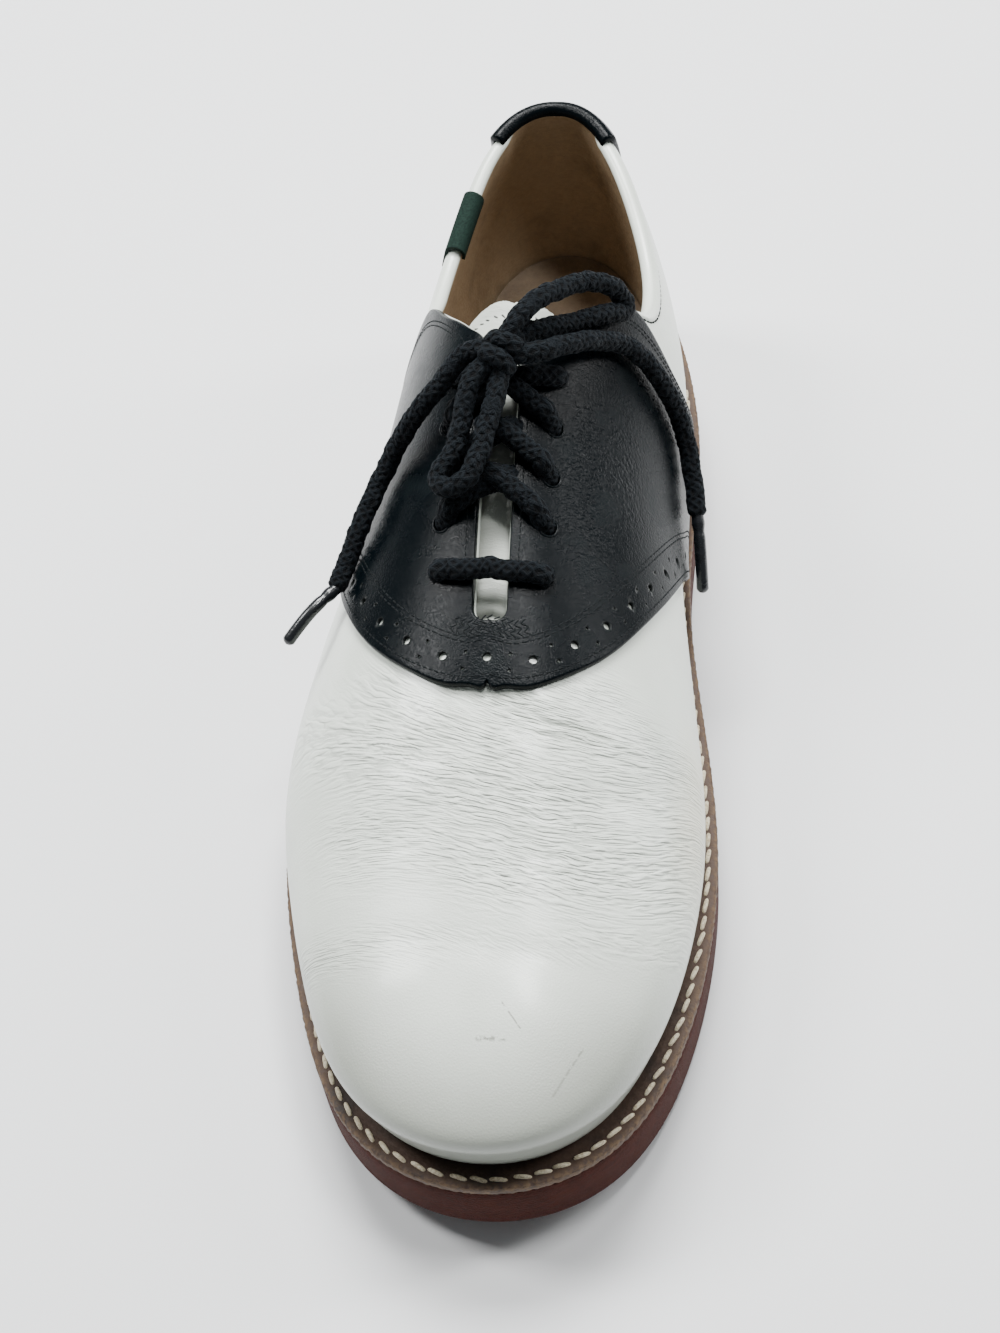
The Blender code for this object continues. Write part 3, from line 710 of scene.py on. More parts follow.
def laced(path: Array, radius: float, seed: int) -> Patch:
    """Soft braided lace along a path.

    Args:
        path: Points of the middle line, array (n, 3).
        radius: Outer radius.
        seed: Which unevenness it gets.

    Returns:
        The patch: a tube whose middle line and radius wander a little, but not at its
        ends, with the braid's strands raised on it.
    """
    run = lengths(path)
    even = np.linspace(0, run[-1], max(int(run[-1] / LACE_STEP), 12))
    fine = np.stack([np.interp(even, run, path[:, i]) for i in range(3)], -1)
    calm = np.clip(np.minimum(even, run[-1] - even) / LACE_CALM, 0, 1)
    wander = np.stack([ripple(even, seed + i, 8, 0.014) for i in range(3)], -1)
    size = (radius - 0.12 * MM) * (1 + LACE_UNEVEN * ripple(even, seed + 7, 10, 0.009) * calm)
    return tube(fine + LACE_WANDER * wander * calm[:, None], size, 36, LACE_RELIEF)


def tube(path: Array, radius: float | Array, sides: int = 16,
         relief: float = 0.0) -> Patch:
    """Round tube along a path, both ends drawn in to a point.

    Args:
        path: Points of the middle line, array (n, 3).
        radius: One radius, or one for each point.
        sides: Points round the tube.
        relief: Height of a braid's strands.

    Returns:
        The patch. Each ring is path + r (cos a right + sin a up), with the frame carried
        along the path so that it doesn't twist. Its flat coordinates are turns round
        and length over circumference.
    """
    path = np.asarray(path, float)
    radius = np.broadcast_to(radius, len(path)).astype(float)
    way = unit(np.gradient(path, axis=0))
    ends = np.array([0.0, 0.55, 0.85])
    back = np.array([0.75, 0.55, 0.25])
    path = np.concatenate([path[0] - way[0] * back[:, None] * radius[0], path,
                           path[-1] + way[-1] * back[::-1, None] * radius[-1]])
    radius = np.concatenate([ends * radius[0], radius, ends[::-1] * radius[-1]])
    way = np.concatenate([np.repeat(way[:1], 3, 0), way, np.repeat(way[-1:], 3, 0)])
    ups = [np.array([0.0, 0.0, 1.0])]
    for forward in way:
        ups.append(unit(ups[-1] - forward * np.dot(ups[-1], forward)))
    up = np.array(ups[1:])
    right = np.cross(way, up)
    turn = np.linspace(0, 2 * math.pi, sides + 1)
    length = lengths(path)
    grid = (len(path), len(turn))
    around = np.broadcast_to(turn / (2 * math.pi), grid)
    along = np.broadcast_to((length / (2 * math.pi * radius.max()))[:, None], grid)
    size = radius[:, None] * (1 + relief / radius.max() * woven(around, along))
    points = path[:, None] + size[..., None] * swung(turn, right, up)
    return Patch.grid(points, np.stack([around, along], -1))


def strewn(shape: Array, places: Array, right: Array, forward: Array, up: Array,
           finish: int = 0) -> Patch:
    """Copies of one small grid at many places.

    Args:
        shape: Grid (a, b, 3) in the local axes right, forward, up.
        places: Array (n, 3).
        right: Unit vectors (n, 3), and so are forward and up.
        forward: Unit vectors along each copy.
        up: Unit vectors out of the surface.
        finish: Material index.

    Returns:
        One patch: place + x right + y forward + z up for every point of every copy.
    """
    axes = np.stack([right, forward, up], 1)
    points = np.einsum("abi,nij->nabj", shape, axes) + places[:, None, None]
    count, a, b = points.shape[:3]
    base = Patch.grid(points[0], finish=finish)
    starts = np.arange(count) * a * b
    faces = (base.faces[None] + starts[:, None, None]).reshape(-1, 4)
    return Patch.loose(points.reshape(-1, 3), faces, finish=finish)


def capsule(length: float, width: float, height: float, sag: float = 0.0) -> Array:
    """Grid of one stitch: rings of a rounded bar, its ends drawn in and dipped by sag.

    Args:
        length: Length of the stitch.
        width: Its width.
        height: Its height.
        sag: How far the ends dip.

    Returns:
        Grid (8, 7, 3) in the axes right, forward, up.
    """
    along = np.array([-1.0, -0.97, -0.8, -0.35, 0.35, 0.8, 0.97, 1.0])
    size = np.array([0.0, 0.45, 0.8, 1.0, 1.0, 0.8, 0.45, 0.0])
    turn = np.linspace(0, 2 * math.pi, 7)
    x = size[:, None] * np.cos(turn) * width / 2
    z = size[:, None] * np.sin(turn) * height / 2 - sag * along[:, None] ** 4
    return np.stack([x, np.broadcast_to(along[:, None] * length / 2, x.shape), z], -1)


def stitched(points: Array, normals: Array, pitch: float, length: float, width: float,
             height: float, lean: float = 0.0, seed: int = 1, sag: float = 0.0) -> Patch:
    """Row of stitches along a line.

    Args:
        points: The line, array (n, 3).
        normals: Outward unit normals there.
        pitch: Distance from stitch to stitch.
        length: Length of a stitch.
        width: Width of a stitch.
        height: Height of a stitch.
        lean: Angle in radians by which each one is turned off the line.
        seed: Seed of their small unevenness.
        sag: How far the ends dip.

    Returns:
        The patch. Stitches stand at even lengths of the line, each turned a little.
    """
    run = lengths(points)
    count = max(2, int(run[-1] / pitch))
    dice = np.random.default_rng(seed)
    where = (np.arange(count) + 0.5) * run[-1] / count + dice.normal(0, 0.04, count) * pitch
    pick = [np.stack([np.interp(where + shift, run, column) for column in source.T], -1)
            for source, shift in ((points, 0), (points, 1e-4), (normals, 0))]
    up = unit(pick[2])
    forward = unit(pick[1] - pick[0])
    right = unit(np.cross(forward, up))
    angle = (lean + dice.normal(0, 0.05, count))[:, None]
    ahead = forward * np.cos(angle) + right * np.sin(angle)
    return strewn(capsule(length, width, height, sag), pick[0], unit(np.cross(ahead, up)),
                  ahead, up)


class Graph:
    """Short ways to lay and link shader nodes in one tree."""

    def __init__(self, tree: bpy.types.NodeTree) -> None:
        """Keep the tree."""
        self.tree = tree

    def add(self, kind: str, inputs: dict | None = None, **settings: object) -> bpy.types.Node:
        """Lay a node, set it up and feed its inputs, by name or index.

        Args:
            kind: Type name of the node.
            inputs: Values or outputs for its inputs, by name or index.
            **settings: Properties of the node.

        Returns:
            The node.
        """
        node = self.tree.nodes.new(kind)
        for key, value in settings.items():
            setattr(node, key, value)
        for key, value in (inputs or {}).items():
            self.feed(node.inputs[key], value)
        return node

    def feed(self, socket: bpy.types.NodeSocket, value: object) -> None:
        """Link an output to the socket, or set the socket's own value.

        Args:
            socket: Input that is fed.
            value: An output, or a plain value.
        """
        if isinstance(value, bpy.types.NodeSocket):
            self.tree.links.new(value, socket)
        else:
            socket.default_value = value

    def math(self, operation: str, *values: object) -> bpy.types.NodeSocket:
        """One Math node."""
        return self.add("ShaderNodeMath", dict(enumerate(values)),
                        operation=operation).outputs[0]

    def times(self, *values: object) -> bpy.types.NodeSocket:
        """Product of two values."""
        return self.math("MULTIPLY", *values)

    def times_plus(self, *values: object) -> bpy.types.NodeSocket:
        """Product of the first two values plus the third."""
        return self.math("MULTIPLY_ADD", *values)

    def vector(self, operation: str, *values: object) -> bpy.types.NodeSocket:
        """One Vector Math node."""
        return self.add("ShaderNodeVectorMath", dict(enumerate(values)),
                        operation=operation).outputs[0]

    def noise(self, vector: object, scale: object, detail: float = 2.0, rough: float = 0.5,
              distortion: float = 0.0) -> bpy.types.NodeSocket:
        """Noise texture's value.

        Args:
            vector: Where the noise is read.
            scale: How fine it is.
            detail: How many finer layers it has.
            rough: How strong the finer layers are.
            distortion: How far it is warped.

        Returns:
            The value, from 0 to 1.
        """
        return self.add("ShaderNodeTexNoise", {
            "Vector": vector, "Scale": scale, "Detail": detail, "Roughness": rough,
            "Distortion": distortion}).outputs[0]

    def cells(self, vector: object, scale: object, feature: str = "F1") -> bpy.types.NodeSocket:
        """Voronoi texture's distance."""
        return self.add("ShaderNodeTexVoronoi", {"Vector": vector, "Scale": scale},
                        feature=feature).outputs["Distance"]

    def span(self, value: object, low: object, high: object, first: object = 0.0,
             last: object = 1.0) -> bpy.types.NodeSocket:
        """Map a range onto another, clamped, with a smooth step."""
        return self.add("ShaderNodeMapRange", dict(enumerate((value, low, high, first, last))),
                        interpolation_type="SMOOTHSTEP").outputs[0]

    def blend(self, factor: object, first: object,
              second: object) -> bpy.types.NodeSocket:
        """Mix of two colours.

        Args:
            factor: Share of the second colour.
            first: First colour.
            second: Second colour.

        Returns:
            The mixed colour.
        """
        node = self.add("ShaderNodeMix", data_type="RGBA", blend_type="MIX")
        for index, value in ((0, factor), (6, first), (7, second)):
            self.feed(node.inputs[index], value)
        return node.outputs[2]

    def group(self, tree: bpy.types.NodeTree, **inputs: object) -> bpy.types.Node:
        """One placed node group, its inputs fed by name.

        Args:
            tree: The group.
            **inputs: Values or outputs for its named inputs.

        Returns:
            The node.
        """
        node = self.add("ShaderNodeGroup", node_tree=tree)
        for key, value in inputs.items():
            self.feed(node.inputs[key], value)
        return node

    def place(self) -> bpy.types.NodeSocket:
        """Object coordinates."""
        return self.add("ShaderNodeTexCoord").outputs["Object"]

    def flow(self) -> bpy.types.NodeSocket:
        """The piece's own flat coordinates."""
        return self.add("ShaderNodeUVMap", uv_map="flow").outputs[0]

    def mark(self, which: Mark) -> bpy.types.NodeSocket:
        """One channel of the mesh's marks."""
        color = self.add("ShaderNodeAttribute", attribute_name="marks").outputs["Color"]
        return self.add("ShaderNodeSeparateColor", {0: color}).outputs[which.value]

    def bump(self, height: object, distance: float,
             normal: object = None) -> bpy.types.NodeSocket:
        """Normal bumped by a height map.

        Args:
            height: Height map.
            distance: How high one unit of it stands, in metres.
            normal: Normal that it is laid over.

        Returns:
            The bumped normal.
        """
        inputs = {"Height": height, "Distance": distance, "Strength": 1.0}
        if normal is not None:
            inputs["Normal"] = normal
        return self.add("ShaderNodeBump", inputs).outputs[0]


def new_group(name: str, inputs: dict[str, float | str],
              outputs: dict[str, str]) -> tuple[Graph, bpy.types.Node, bpy.types.Node]:
    """Start a node group.

    Args:
        name: Its name.
        inputs: Names with a default number, or the word VECTOR.
        outputs: Names with the kind of socket.

    Returns:
        The graph, its input node and its output node.
    """
    tree = bpy.data.node_groups.new(name, "ShaderNodeTree")
    for key, value in inputs.items():
        kind = "NodeSocketVector" if value == "VECTOR" else "NodeSocketFloat"
        socket = tree.interface.new_socket(name=key, in_out="INPUT", socket_type=kind)
        if value != "VECTOR":
            socket.default_value = value
    for key, kind in outputs.items():
        tree.interface.new_socket(name=key, in_out="OUTPUT", socket_type=kind)
    graph = Graph(tree)
    return graph, graph.add("NodeGroupInput"), graph.add("NodeGroupOutput")


FLOAT = "NodeSocketFloat"


class Effects:
    """Node groups that several finishes share."""

    def __init__(self) -> None:
        """Build each group once."""
        self.grain = self.make_grain()
        self.wrinkles = self.make_wrinkles()
        self.dust = self.make_dust()
        self.weave = self.make_weave()
        self.fibres = self.make_fibres()
        self.scratch = self.make_scratch()

    def make_grain(self) -> bpy.types.NodeTree:
        """Leather grain: small rounded cells with pores between them.

        Returns:
            Group of a Height and a Shade.
        """
        graph, start, end = new_group("grain", {"Vector": "VECTOR", "Cell": 0.6, "Pores": 0.5},
                                      {"Height": FLOAT, "Shade": FLOAT})
        scale = graph.math("DIVIDE", 1000.0, start.outputs["Cell"])
        cells = graph.cells(start.outputs["Vector"], scale)
        low = graph.span(cells, 0.15, 0.75, 1.0, 0.0)
        pores = graph.span(graph.noise(start.outputs["Vector"], scale, 3.0), 0.3, 0.6)
        height = graph.times_plus(graph.math("SUBTRACT", pores, 1.0),
                                  start.outputs["Pores"], low)
        graph.feed(end.inputs["Height"], height)
        graph.feed(end.inputs["Shade"], graph.noise(start.outputs["Vector"], 90.0, 4.0))
        return graph.tree

    def make_wrinkles(self) -> bpy.types.NodeTree:
        """Fine creases: thin troughs along the level lines of a stretched noise.

        The flat coordinates run along the creases and across them, in metres.

        Returns:
            Group of a Height and of a Trough, 1 in the creases' floor.
        """
        graph, start, end = new_group(
            "wrinkles", {"Vector": "VECTOR", "Pitch": 1.2, "Stretch": 0.16, "Wander": 0.5},
            {"Height": FLOAT, "Trough": FLOAT})
        across = graph.math("DIVIDE", 1000.0, start.outputs["Pitch"])
        along = graph.times(across, start.outputs["Stretch"])
        parts = graph.add("ShaderNodeSeparateXYZ", {0: start.outputs["Vector"]})
        wander = graph.noise(start.outputs["Vector"], 95.0, 2.0)
        shift = graph.times(graph.math("SUBTRACT", wander, 0.5), start.outputs["Wander"])
        u = graph.times(parts.outputs[0], along)
        v = graph.times_plus(parts.outputs[1], across, graph.times(shift, 4.0))
        vector = graph.add("ShaderNodeCombineXYZ", {0: u, 1: v}).outputs[0]
        value = graph.noise(vector, 0.62, 1.5, 0.45)
        ridge = graph.math("ABSOLUTE", graph.math("SUBTRACT", value, 0.5))
        height = graph.span(ridge, 0.0, 0.17)
        graph.feed(end.inputs["Height"], height)
        graph.feed(end.inputs["Trough"], graph.span(ridge, 0.0, 0.05, 1.0, 0.0))
        return graph.tree

    def make_scratch(self) -> bpy.types.NodeTree:
        """One thin broken scratch between two places, as seen from above.

        Returns:
            Group of a Mask, 1 on the scratch.
        """
        graph, start, end = new_group("scratch", {"Vector": "VECTOR", "From": "VECTOR",
                                                  "To": "VECTOR", "Width": 0.3},
                                      {"Mask": FLOAT})
        first, last, place = (graph.vector("MULTIPLY", start.outputs[name], (1.0, 1.0, 0.0))
                              for name in ("From", "To", "Vector"))
        line = graph.vector("SUBTRACT", last, first)
        here = graph.vector("SUBTRACT", place, first)
        dots = [graph.add("ShaderNodeVectorMath", {0: here, 1: line}, operation="DOT_PRODUCT"),
                graph.add("ShaderNodeVectorMath", {0: line, 1: line}, operation="DOT_PRODUCT")]
        share = graph.add("ShaderNodeClamp", {0: graph.math(
            "DIVIDE", dots[0].outputs["Value"], dots[1].outputs["Value"])}).outputs[0]
        near = graph.add("ShaderNodeVectorMath", {0: line, "Scale": share}, operation="SCALE")
        away = graph.add("ShaderNodeVectorMath", {0: here, 1: near.outputs[0]},
                         operation="DISTANCE").outputs["Value"]
        broken = graph.span(graph.noise(start.outputs["Vector"], 900.0, 2.0), 0.42, 0.55)
        width = graph.times(start.outputs["Width"], 0.001)
        mask = graph.times(graph.span(away, 0.0, width, 1.0, 0.0), broken)
        graph.feed(end.inputs["Mask"], mask)
        return graph.tree

    def make_dust(self) -> bpy.types.NodeTree:
        """Smudges and specks: soft patches and sparse dots.

        Returns:
            Group of a Smudge and of Specks, both masks.
        """
        graph, start, end = new_group("dust", {"Vector": "VECTOR", "Patch": 12.0, "Speck": 0.9},
                                      {"Smudge": FLOAT, "Specks": FLOAT})
        scale = graph.math("DIVIDE", 1000.0, start.outputs["Patch"])
        soft = graph.noise(start.outputs["Vector"], scale, 4.0, 0.6)
        graph.feed(end.inputs["Smudge"], graph.span(soft, 0.5, 0.75))
        tiny = graph.math("DIVIDE", 1000.0, start.outputs["Speck"])
        dots = graph.span(graph.cells(start.outputs["Vector"], tiny), 0.05, 0.16, 1.0, 0.0)
        rare = graph.span(graph.noise(start.outputs["Vector"], 160.0, 2.0), 0.62, 0.7)
        graph.feed(end.inputs["Specks"], graph.times(dots, rare))
        return graph.tree

    def make_weave(self) -> bpy.types.NodeTree:
        """Braid: two sets of slanting strands, the higher of the two on top.

        Returns:
            Group of a Height and a Shade, 1 on top of the strands.
        """
        graph, start, end = new_group("weave", {"Vector": "VECTOR", "Strands": 6.0, "Slant": 6.0},
                                      {"Height": FLOAT, "Shade": FLOAT})
        parts = graph.add("ShaderNodeSeparateXYZ", {0: start.outputs["Vector"]})
        around = graph.times(parts.outputs[0], start.outputs["Strands"])
        along = graph.times(parts.outputs[1], start.outputs["Slant"])
        sets = []
        for sign, shift in ((1.0, 0.0), (-1.0, 0.5)):
            phase = graph.times_plus(around, sign, along)
            wave = graph.math("SINE", graph.times(phase, 2 * math.pi))
            other = graph.times_plus(around, -sign, along)
            lift = graph.math("SINE", graph.times_plus(other, math.pi, shift))
            sets.append(graph.times_plus(lift, CROSSED, wave))
        top = graph.math("MAXIMUM", *sets)
        graph.feed(end.inputs["Height"], top)
        graph.feed(end.inputs["Shade"], graph.span(top, -0.4, 1.1))
        return graph.tree

    def make_fibres(self) -> bpy.types.NodeTree:
        """Drawn-out streaks of a cut or brushed edge.

        Returns:
            Group of a Height and a Shade.
        """
        graph, start, end = new_group("fibres", {"Vector": "VECTOR", "Width": 0.3},
                                      {"Height": FLOAT, "Shade": FLOAT})
        scale = graph.math("DIVIDE", 1000.0, start.outputs["Width"])
        stretched = graph.vector("MULTIPLY", start.outputs["Vector"], (0.35, 0.35, 1.0))
        value = graph.noise(stretched, scale, 3.0, 0.65, 0.4)
        graph.feed(end.inputs["Height"], value)
        graph.feed(end.inputs["Shade"], graph.span(value, 0.35, 0.7))
        return graph.tree


def start_material(name: str) -> tuple[bpy.types.Material, Graph, bpy.types.Node]:
    """New material with its graph and its Principled shader.

    Args:
        name: Name that it gets.

    Returns:
        The material, its graph and its shader.
    """
    material = bpy.data.materials.new(name)
    material.use_nodes = True
    return material, Graph(material.node_tree), material.node_tree.nodes["Principled BSDF"]


Color = tuple[float, float, float, float]


@dataclass(frozen=True)
class WhiteLeather:
    """Polished white leather with creases, smudges, specks, scratches and a little yellowing, and
    painted shade in the crease troughs and wherever the wear channel is set.
    """

    name: str = "white_leather"
    base: Color = (0.645, 0.69, 0.62, 1.0)
    shade: Color = (0.29, 0.315, 0.28, 1.0)
    yellow: Color = (0.63, 0.59, 0.44, 1.0)
    # Colour of dust specks and scratches, and of the painted shade that the wear channel lays on.
    dirt_and_shade: Color = (0.22, 0.23, 0.20, 1.0)
    roughness: float = 0.42
    coat: float = 0.45
    pitch: float = 0.60
    relief: float = 0.00029
    grain_relief: float = 0.00002
    coat_roughness: float = 0.20
    # How far the floors of the fine creases are darkened: painted shade.
    trough: float = 0.42
    # Share of the wear channel's darkening; on this leather that channel holds painted shade.
    worn: float = 0.8
    scratched: float = 0.95
    scratches: tuple = (
        ((0.0302, -0.1286, 0.0458), (0.0246, -0.1398, 0.0437), 0.45),
        ((0.0075, -0.1297, 0.0508), (0.0131, -0.1291, 0.0505), 0.9),
        ((0.0240, -0.0793, 0.0603), (0.0250, -0.0797, 0.0603), 0.5),
        ((0.0120, -0.1215, 0.0530), (0.0165, -0.1265, 0.0510), 0.3),
    )

    def material(self, effects: Effects) -> bpy.types.Material:
        """Build the material.

        Args:
            effects: The shared node groups.

        Returns:
            The material.
        """
        material, graph, shader = start_material(self.name)
        place, flow = graph.place(), graph.flow()
        flex, wear, tone = (graph.mark(mark) for mark in Mark)
        grain = graph.group(effects.grain, Vector=place, Cell=0.55, Pores=0.4)
        fine = graph.group(effects.wrinkles, Vector=flow, Pitch=self.pitch, Stretch=0.10,
                           Wander=0.45)
        cross = graph.group(effects.wrinkles, Vector=flow, Pitch=self.pitch * 2.1,
                            Stretch=0.2, Wander=0.5)
        dust = graph.group(effects.dust, Vector=place, Patch=14.0, Speck=1.1)
        color = graph.blend(graph.times(grain.outputs["Shade"], 0.22), self.base, self.shade)
        color = graph.blend(tone, color, self.yellow)
        # Painted shade: the floors of the fine creases darken towards the shade colour where the
        # leather flexes.
        trough = graph.times(fine.outputs["Trough"], graph.times(flex, self.trough))
        color = graph.blend(trough, color, self.shade)
        # Painted shade: the wear channel darkens the toe towards the welt, and the tongue at its
        # fold and beside the facings.
        color = graph.blend(graph.times(wear, self.worn), color, self.dirt_and_shade)
        specks = graph.times(dust.outputs["Specks"], 0.35)
        color = graph.blend(specks, color, self.dirt_and_shade)
        for first, last, width in self.scratches:
            mark = graph.group(effects.scratch, Vector=place, From=first, To=last, Width=width)
            color = graph.blend(graph.times(mark.outputs[0], self.scratched), color, self.dirt_and_shade)
        graph.feed(shader.inputs["Base Color"], color)
        rough = graph.times_plus(dust.outputs["Smudge"], 0.10, self.roughness)
        graph.feed(shader.inputs["Roughness"], graph.times_plus(flex, 0.10, rough))
        shader.inputs["Coat Weight"].default_value = self.coat
        shader.inputs["Coat Roughness"].default_value = self.coat_roughness
        height = graph.times(
            graph.times_plus(cross.outputs["Height"], 0.8, fine.outputs["Height"]), flex)
        normal = graph.bump(height, self.relief)
        normal = graph.bump(grain.outputs["Height"], self.grain_relief, normal)
        graph.feed(shader.inputs["Normal"], normal)
        return material


@dataclass(frozen=True)
class BlackLeather:
    """Waxed black leather, slightly green, with a pebbled grain where it flexes."""

    name: str = "black_leather"
    base: Color = (0.0008, 0.0020, 0.0028, 1.0)
    worn: Color = (0.006, 0.010, 0.011, 1.0)
    edge: Color = (0.03, 0.033, 0.031, 1.0)
    roughness: float = 0.27
    gloss: float = 0.085
    grain_relief: float = 0.00003
    pebble_relief: float = 0.00009

    def material(self, effects: Effects) -> bpy.types.Material:
        """Build the material.

        Args:
            effects: The shared node groups.

        Returns:
            The material.
        """
        material, graph, shader = start_material(self.name)
        place = graph.place()
        flex, wear, _ = (graph.mark(mark) for mark in Mark)
        fine = graph.group(effects.grain, Vector=place, Cell=0.5, Pores=0.5)
        coarse = graph.group(effects.grain, Vector=place, Cell=1.1, Pores=0.8)
        dust = graph.group(effects.dust, Vector=place, Patch=9.0, Speck=1.3)
        scuff = graph.times(dust.outputs["Smudge"], 0.25)
        color = graph.blend(scuff, self.base, self.worn)
        color = graph.blend(graph.times(wear, 0.5), color, self.edge)
        color = graph.blend(graph.times(dust.outputs["Specks"], 0.2), color, self.edge)
        graph.feed(shader.inputs["Base Color"], color)
        rough = graph.times_plus(dust.outputs["Smudge"], 0.08, self.roughness)
        graph.feed(shader.inputs["Roughness"], rough)
        shader.inputs["Specular IOR Level"].default_value = self.gloss
        normal = graph.bump(fine.outputs["Height"], self.grain_relief)
        deep = graph.times(coarse.outputs["Height"], flex)
        normal = graph.bump(deep, self.pebble_relief, normal)
        graph.feed(shader.inputs["Normal"], normal)
        return material


@dataclass(frozen=True)
class RawLeather:
    """Vegetable-tanned leather: welt, lining or insole, fibrous where it is cut."""

    name: str
    base: Color
    deep: Color
    fibre: Color
    roughness: float = 0.62
    relief: float = 0.00012

    def material(self, effects: Effects) -> bpy.types.Material:
        """Build the material.

        Args:
            effects: The shared node groups.

        Returns:
            The material.
        """
        material, graph, shader = start_material(self.name)
        place, wear = graph.place(), graph.mark(Mark.WEAR)
        fibres = graph.group(effects.fibres, Vector=place, Width=0.55)
        grain = graph.group(effects.grain, Vector=place, Cell=0.8, Pores=0.7)
        dust = graph.group(effects.dust, Vector=place, Patch=16.0, Speck=1.6)
        color = graph.blend(dust.outputs["Smudge"], self.base, self.deep)
        color = graph.blend(graph.times(fibres.outputs["Shade"], 0.35), color, self.deep)
        hairy = graph.times(wear, fibres.outputs["Shade"])
        color = graph.blend(hairy, color, self.fibre)
        graph.feed(shader.inputs["Base Color"], color)
        graph.feed(shader.inputs["Roughness"],
                   graph.times_plus(fibres.outputs["Shade"], 0.15, self.roughness))
        height = graph.times_plus(fibres.outputs["Height"],
                                  graph.times_plus(wear, 2.2, 0.4),
                                  graph.times(grain.outputs["Height"], 0.3))
        graph.feed(shader.inputs["Normal"], graph.bump(height, self.relief))
        return material


@dataclass(frozen=True)
class BrickRubber:
    """Matt brick-red rubber with a fine open surface and some dust."""

    name: str = "brick_rubber"
    base: Color = (0.050, 0.0095, 0.0050, 1.0)
    dark: Color = (0.032, 0.0068, 0.0040, 1.0)
    dusty: Color = (0.075, 0.025, 0.015, 1.0)
    roughness: float = 0.68
    gloss: float = 0.12
    relief: float = 0.00008

    def material(self, effects: Effects) -> bpy.types.Material:
        """Build the material.

        Args:
            effects: The shared node groups.

        Returns:
            The material.
        """
        material, graph, shader = start_material(self.name)
        place = graph.place()
        dust = graph.group(effects.dust, Vector=place, Patch=7.0, Speck=0.8)
        fibres = graph.group(effects.fibres, Vector=place, Width=0.8)
        grain = graph.group(effects.grain, Vector=place, Cell=0.45, Pores=0.9)
        color = graph.blend(fibres.outputs["Shade"], self.base, self.dark)
        dusty = graph.times(dust.outputs["Smudge"], 0.45)
        color = graph.blend(dusty, color, self.dusty)
        color = graph.blend(dust.outputs["Specks"], color, self.dusty)
        graph.feed(shader.inputs["Base Color"], color)
        graph.feed(shader.inputs["Roughness"], graph.times_plus(dusty, 0.2, self.roughness))
        shader.inputs["Specular IOR Level"].default_value = self.gloss
        height = graph.times_plus(fibres.outputs["Height"], 0.6, grain.outputs["Height"])
        graph.feed(shader.inputs["Normal"], graph.bump(height, self.relief))
        return material


@dataclass(frozen=True)
class Braid:
    """Braided cotton lace, nearly black, with a little lint and painted shade in the valleys
    between its strands.
    """

    name: str = "black_cotton"
    valley_shade: Color = (0.0002, 0.0004, 0.0007, 1.0)
    strand: Color = (0.0020, 0.0038, 0.0056, 1.0)
    lint: Color = (0.020, 0.025, 0.029, 1.0)
    bloom: Color = (0.5, 0.6, 0.7, 1.0)
    roughness: float = 0.82
    gloss: float = 0.1
    strand_relief: float = 0.0002
    yarn_relief: float = 0.00008
    fuzz_relief: float = 0.0001

    def material(self, effects: Effects) -> bpy.types.Material:
        """Build the material.

        Args:
            effects: The shared node groups.

        Returns:
            The material.
        """
        material, graph, shader = start_material(self.name)
        place, flow = graph.place(), graph.flow()
        weave = graph.group(effects.weave, Vector=flow, Strands=float(STRANDS),
                            Slant=float(SLANT))
        yarn = graph.group(effects.weave, Vector=flow, Strands=24.0, Slant=31.0)
        dust = graph.group(effects.dust, Vector=place, Patch=3.0, Speck=0.7)
        threads = graph.noise(place, 2600.0, 3.0, 0.7)
        # Painted shade: the valleys between the strands are darker than the strands' tops.
        color = graph.blend(weave.outputs["Shade"], self.valley_shade, self.strand)
        fuzz = graph.times(dust.outputs["Smudge"], graph.span(threads, 0.55, 0.8))
        color = graph.blend(graph.times(fuzz, 0.5), color, self.lint)
        graph.feed(shader.inputs["Base Color"], color)
        graph.feed(shader.inputs["Roughness"],
                   graph.times_plus(weave.outputs["Shade"], -0.12, self.roughness))
        shader.inputs["Specular IOR Level"].default_value = self.gloss
        shader.inputs["Sheen Weight"].default_value = 0.03
        shader.inputs["Sheen Roughness"].default_value = 0.5
        shader.inputs["Sheen Tint"].default_value = self.bloom
        normal = graph.bump(weave.outputs["Height"], self.strand_relief)
        normal = graph.bump(yarn.outputs["Height"], self.yarn_relief, normal)
        graph.feed(shader.inputs["Normal"], graph.bump(threads, self.fuzz_relief, normal))
        return material


@dataclass(frozen=True)
class Thread:
    """Sewing thread or tape, twisted or woven."""

    name: str
    base: Color
    dark: Color
    roughness: float = 0.7
    width: float = 0.25
    gloss: float = 0.15
    relief: float = 0.00012

    def material(self, effects: Effects) -> bpy.types.Material:
        """Build the material.

        Args:
            effects: The shared node groups.

        Returns:
            The material.
        """
        material, graph, shader = start_material(self.name)
        place = graph.place()
        fibres = graph.group(effects.fibres, Vector=place, Width=self.width)
        color = graph.blend(fibres.outputs["Shade"], self.base, self.dark)
        graph.feed(shader.inputs["Base Color"], color)
        graph.feed(shader.inputs["Roughness"],
                   graph.times_plus(fibres.outputs["Shade"], 0.1, self.roughness))
        shader.inputs["Specular IOR Level"].default_value = self.gloss
        graph.feed(shader.inputs["Normal"], graph.bump(fibres.outputs["Height"], self.relief))
        return material


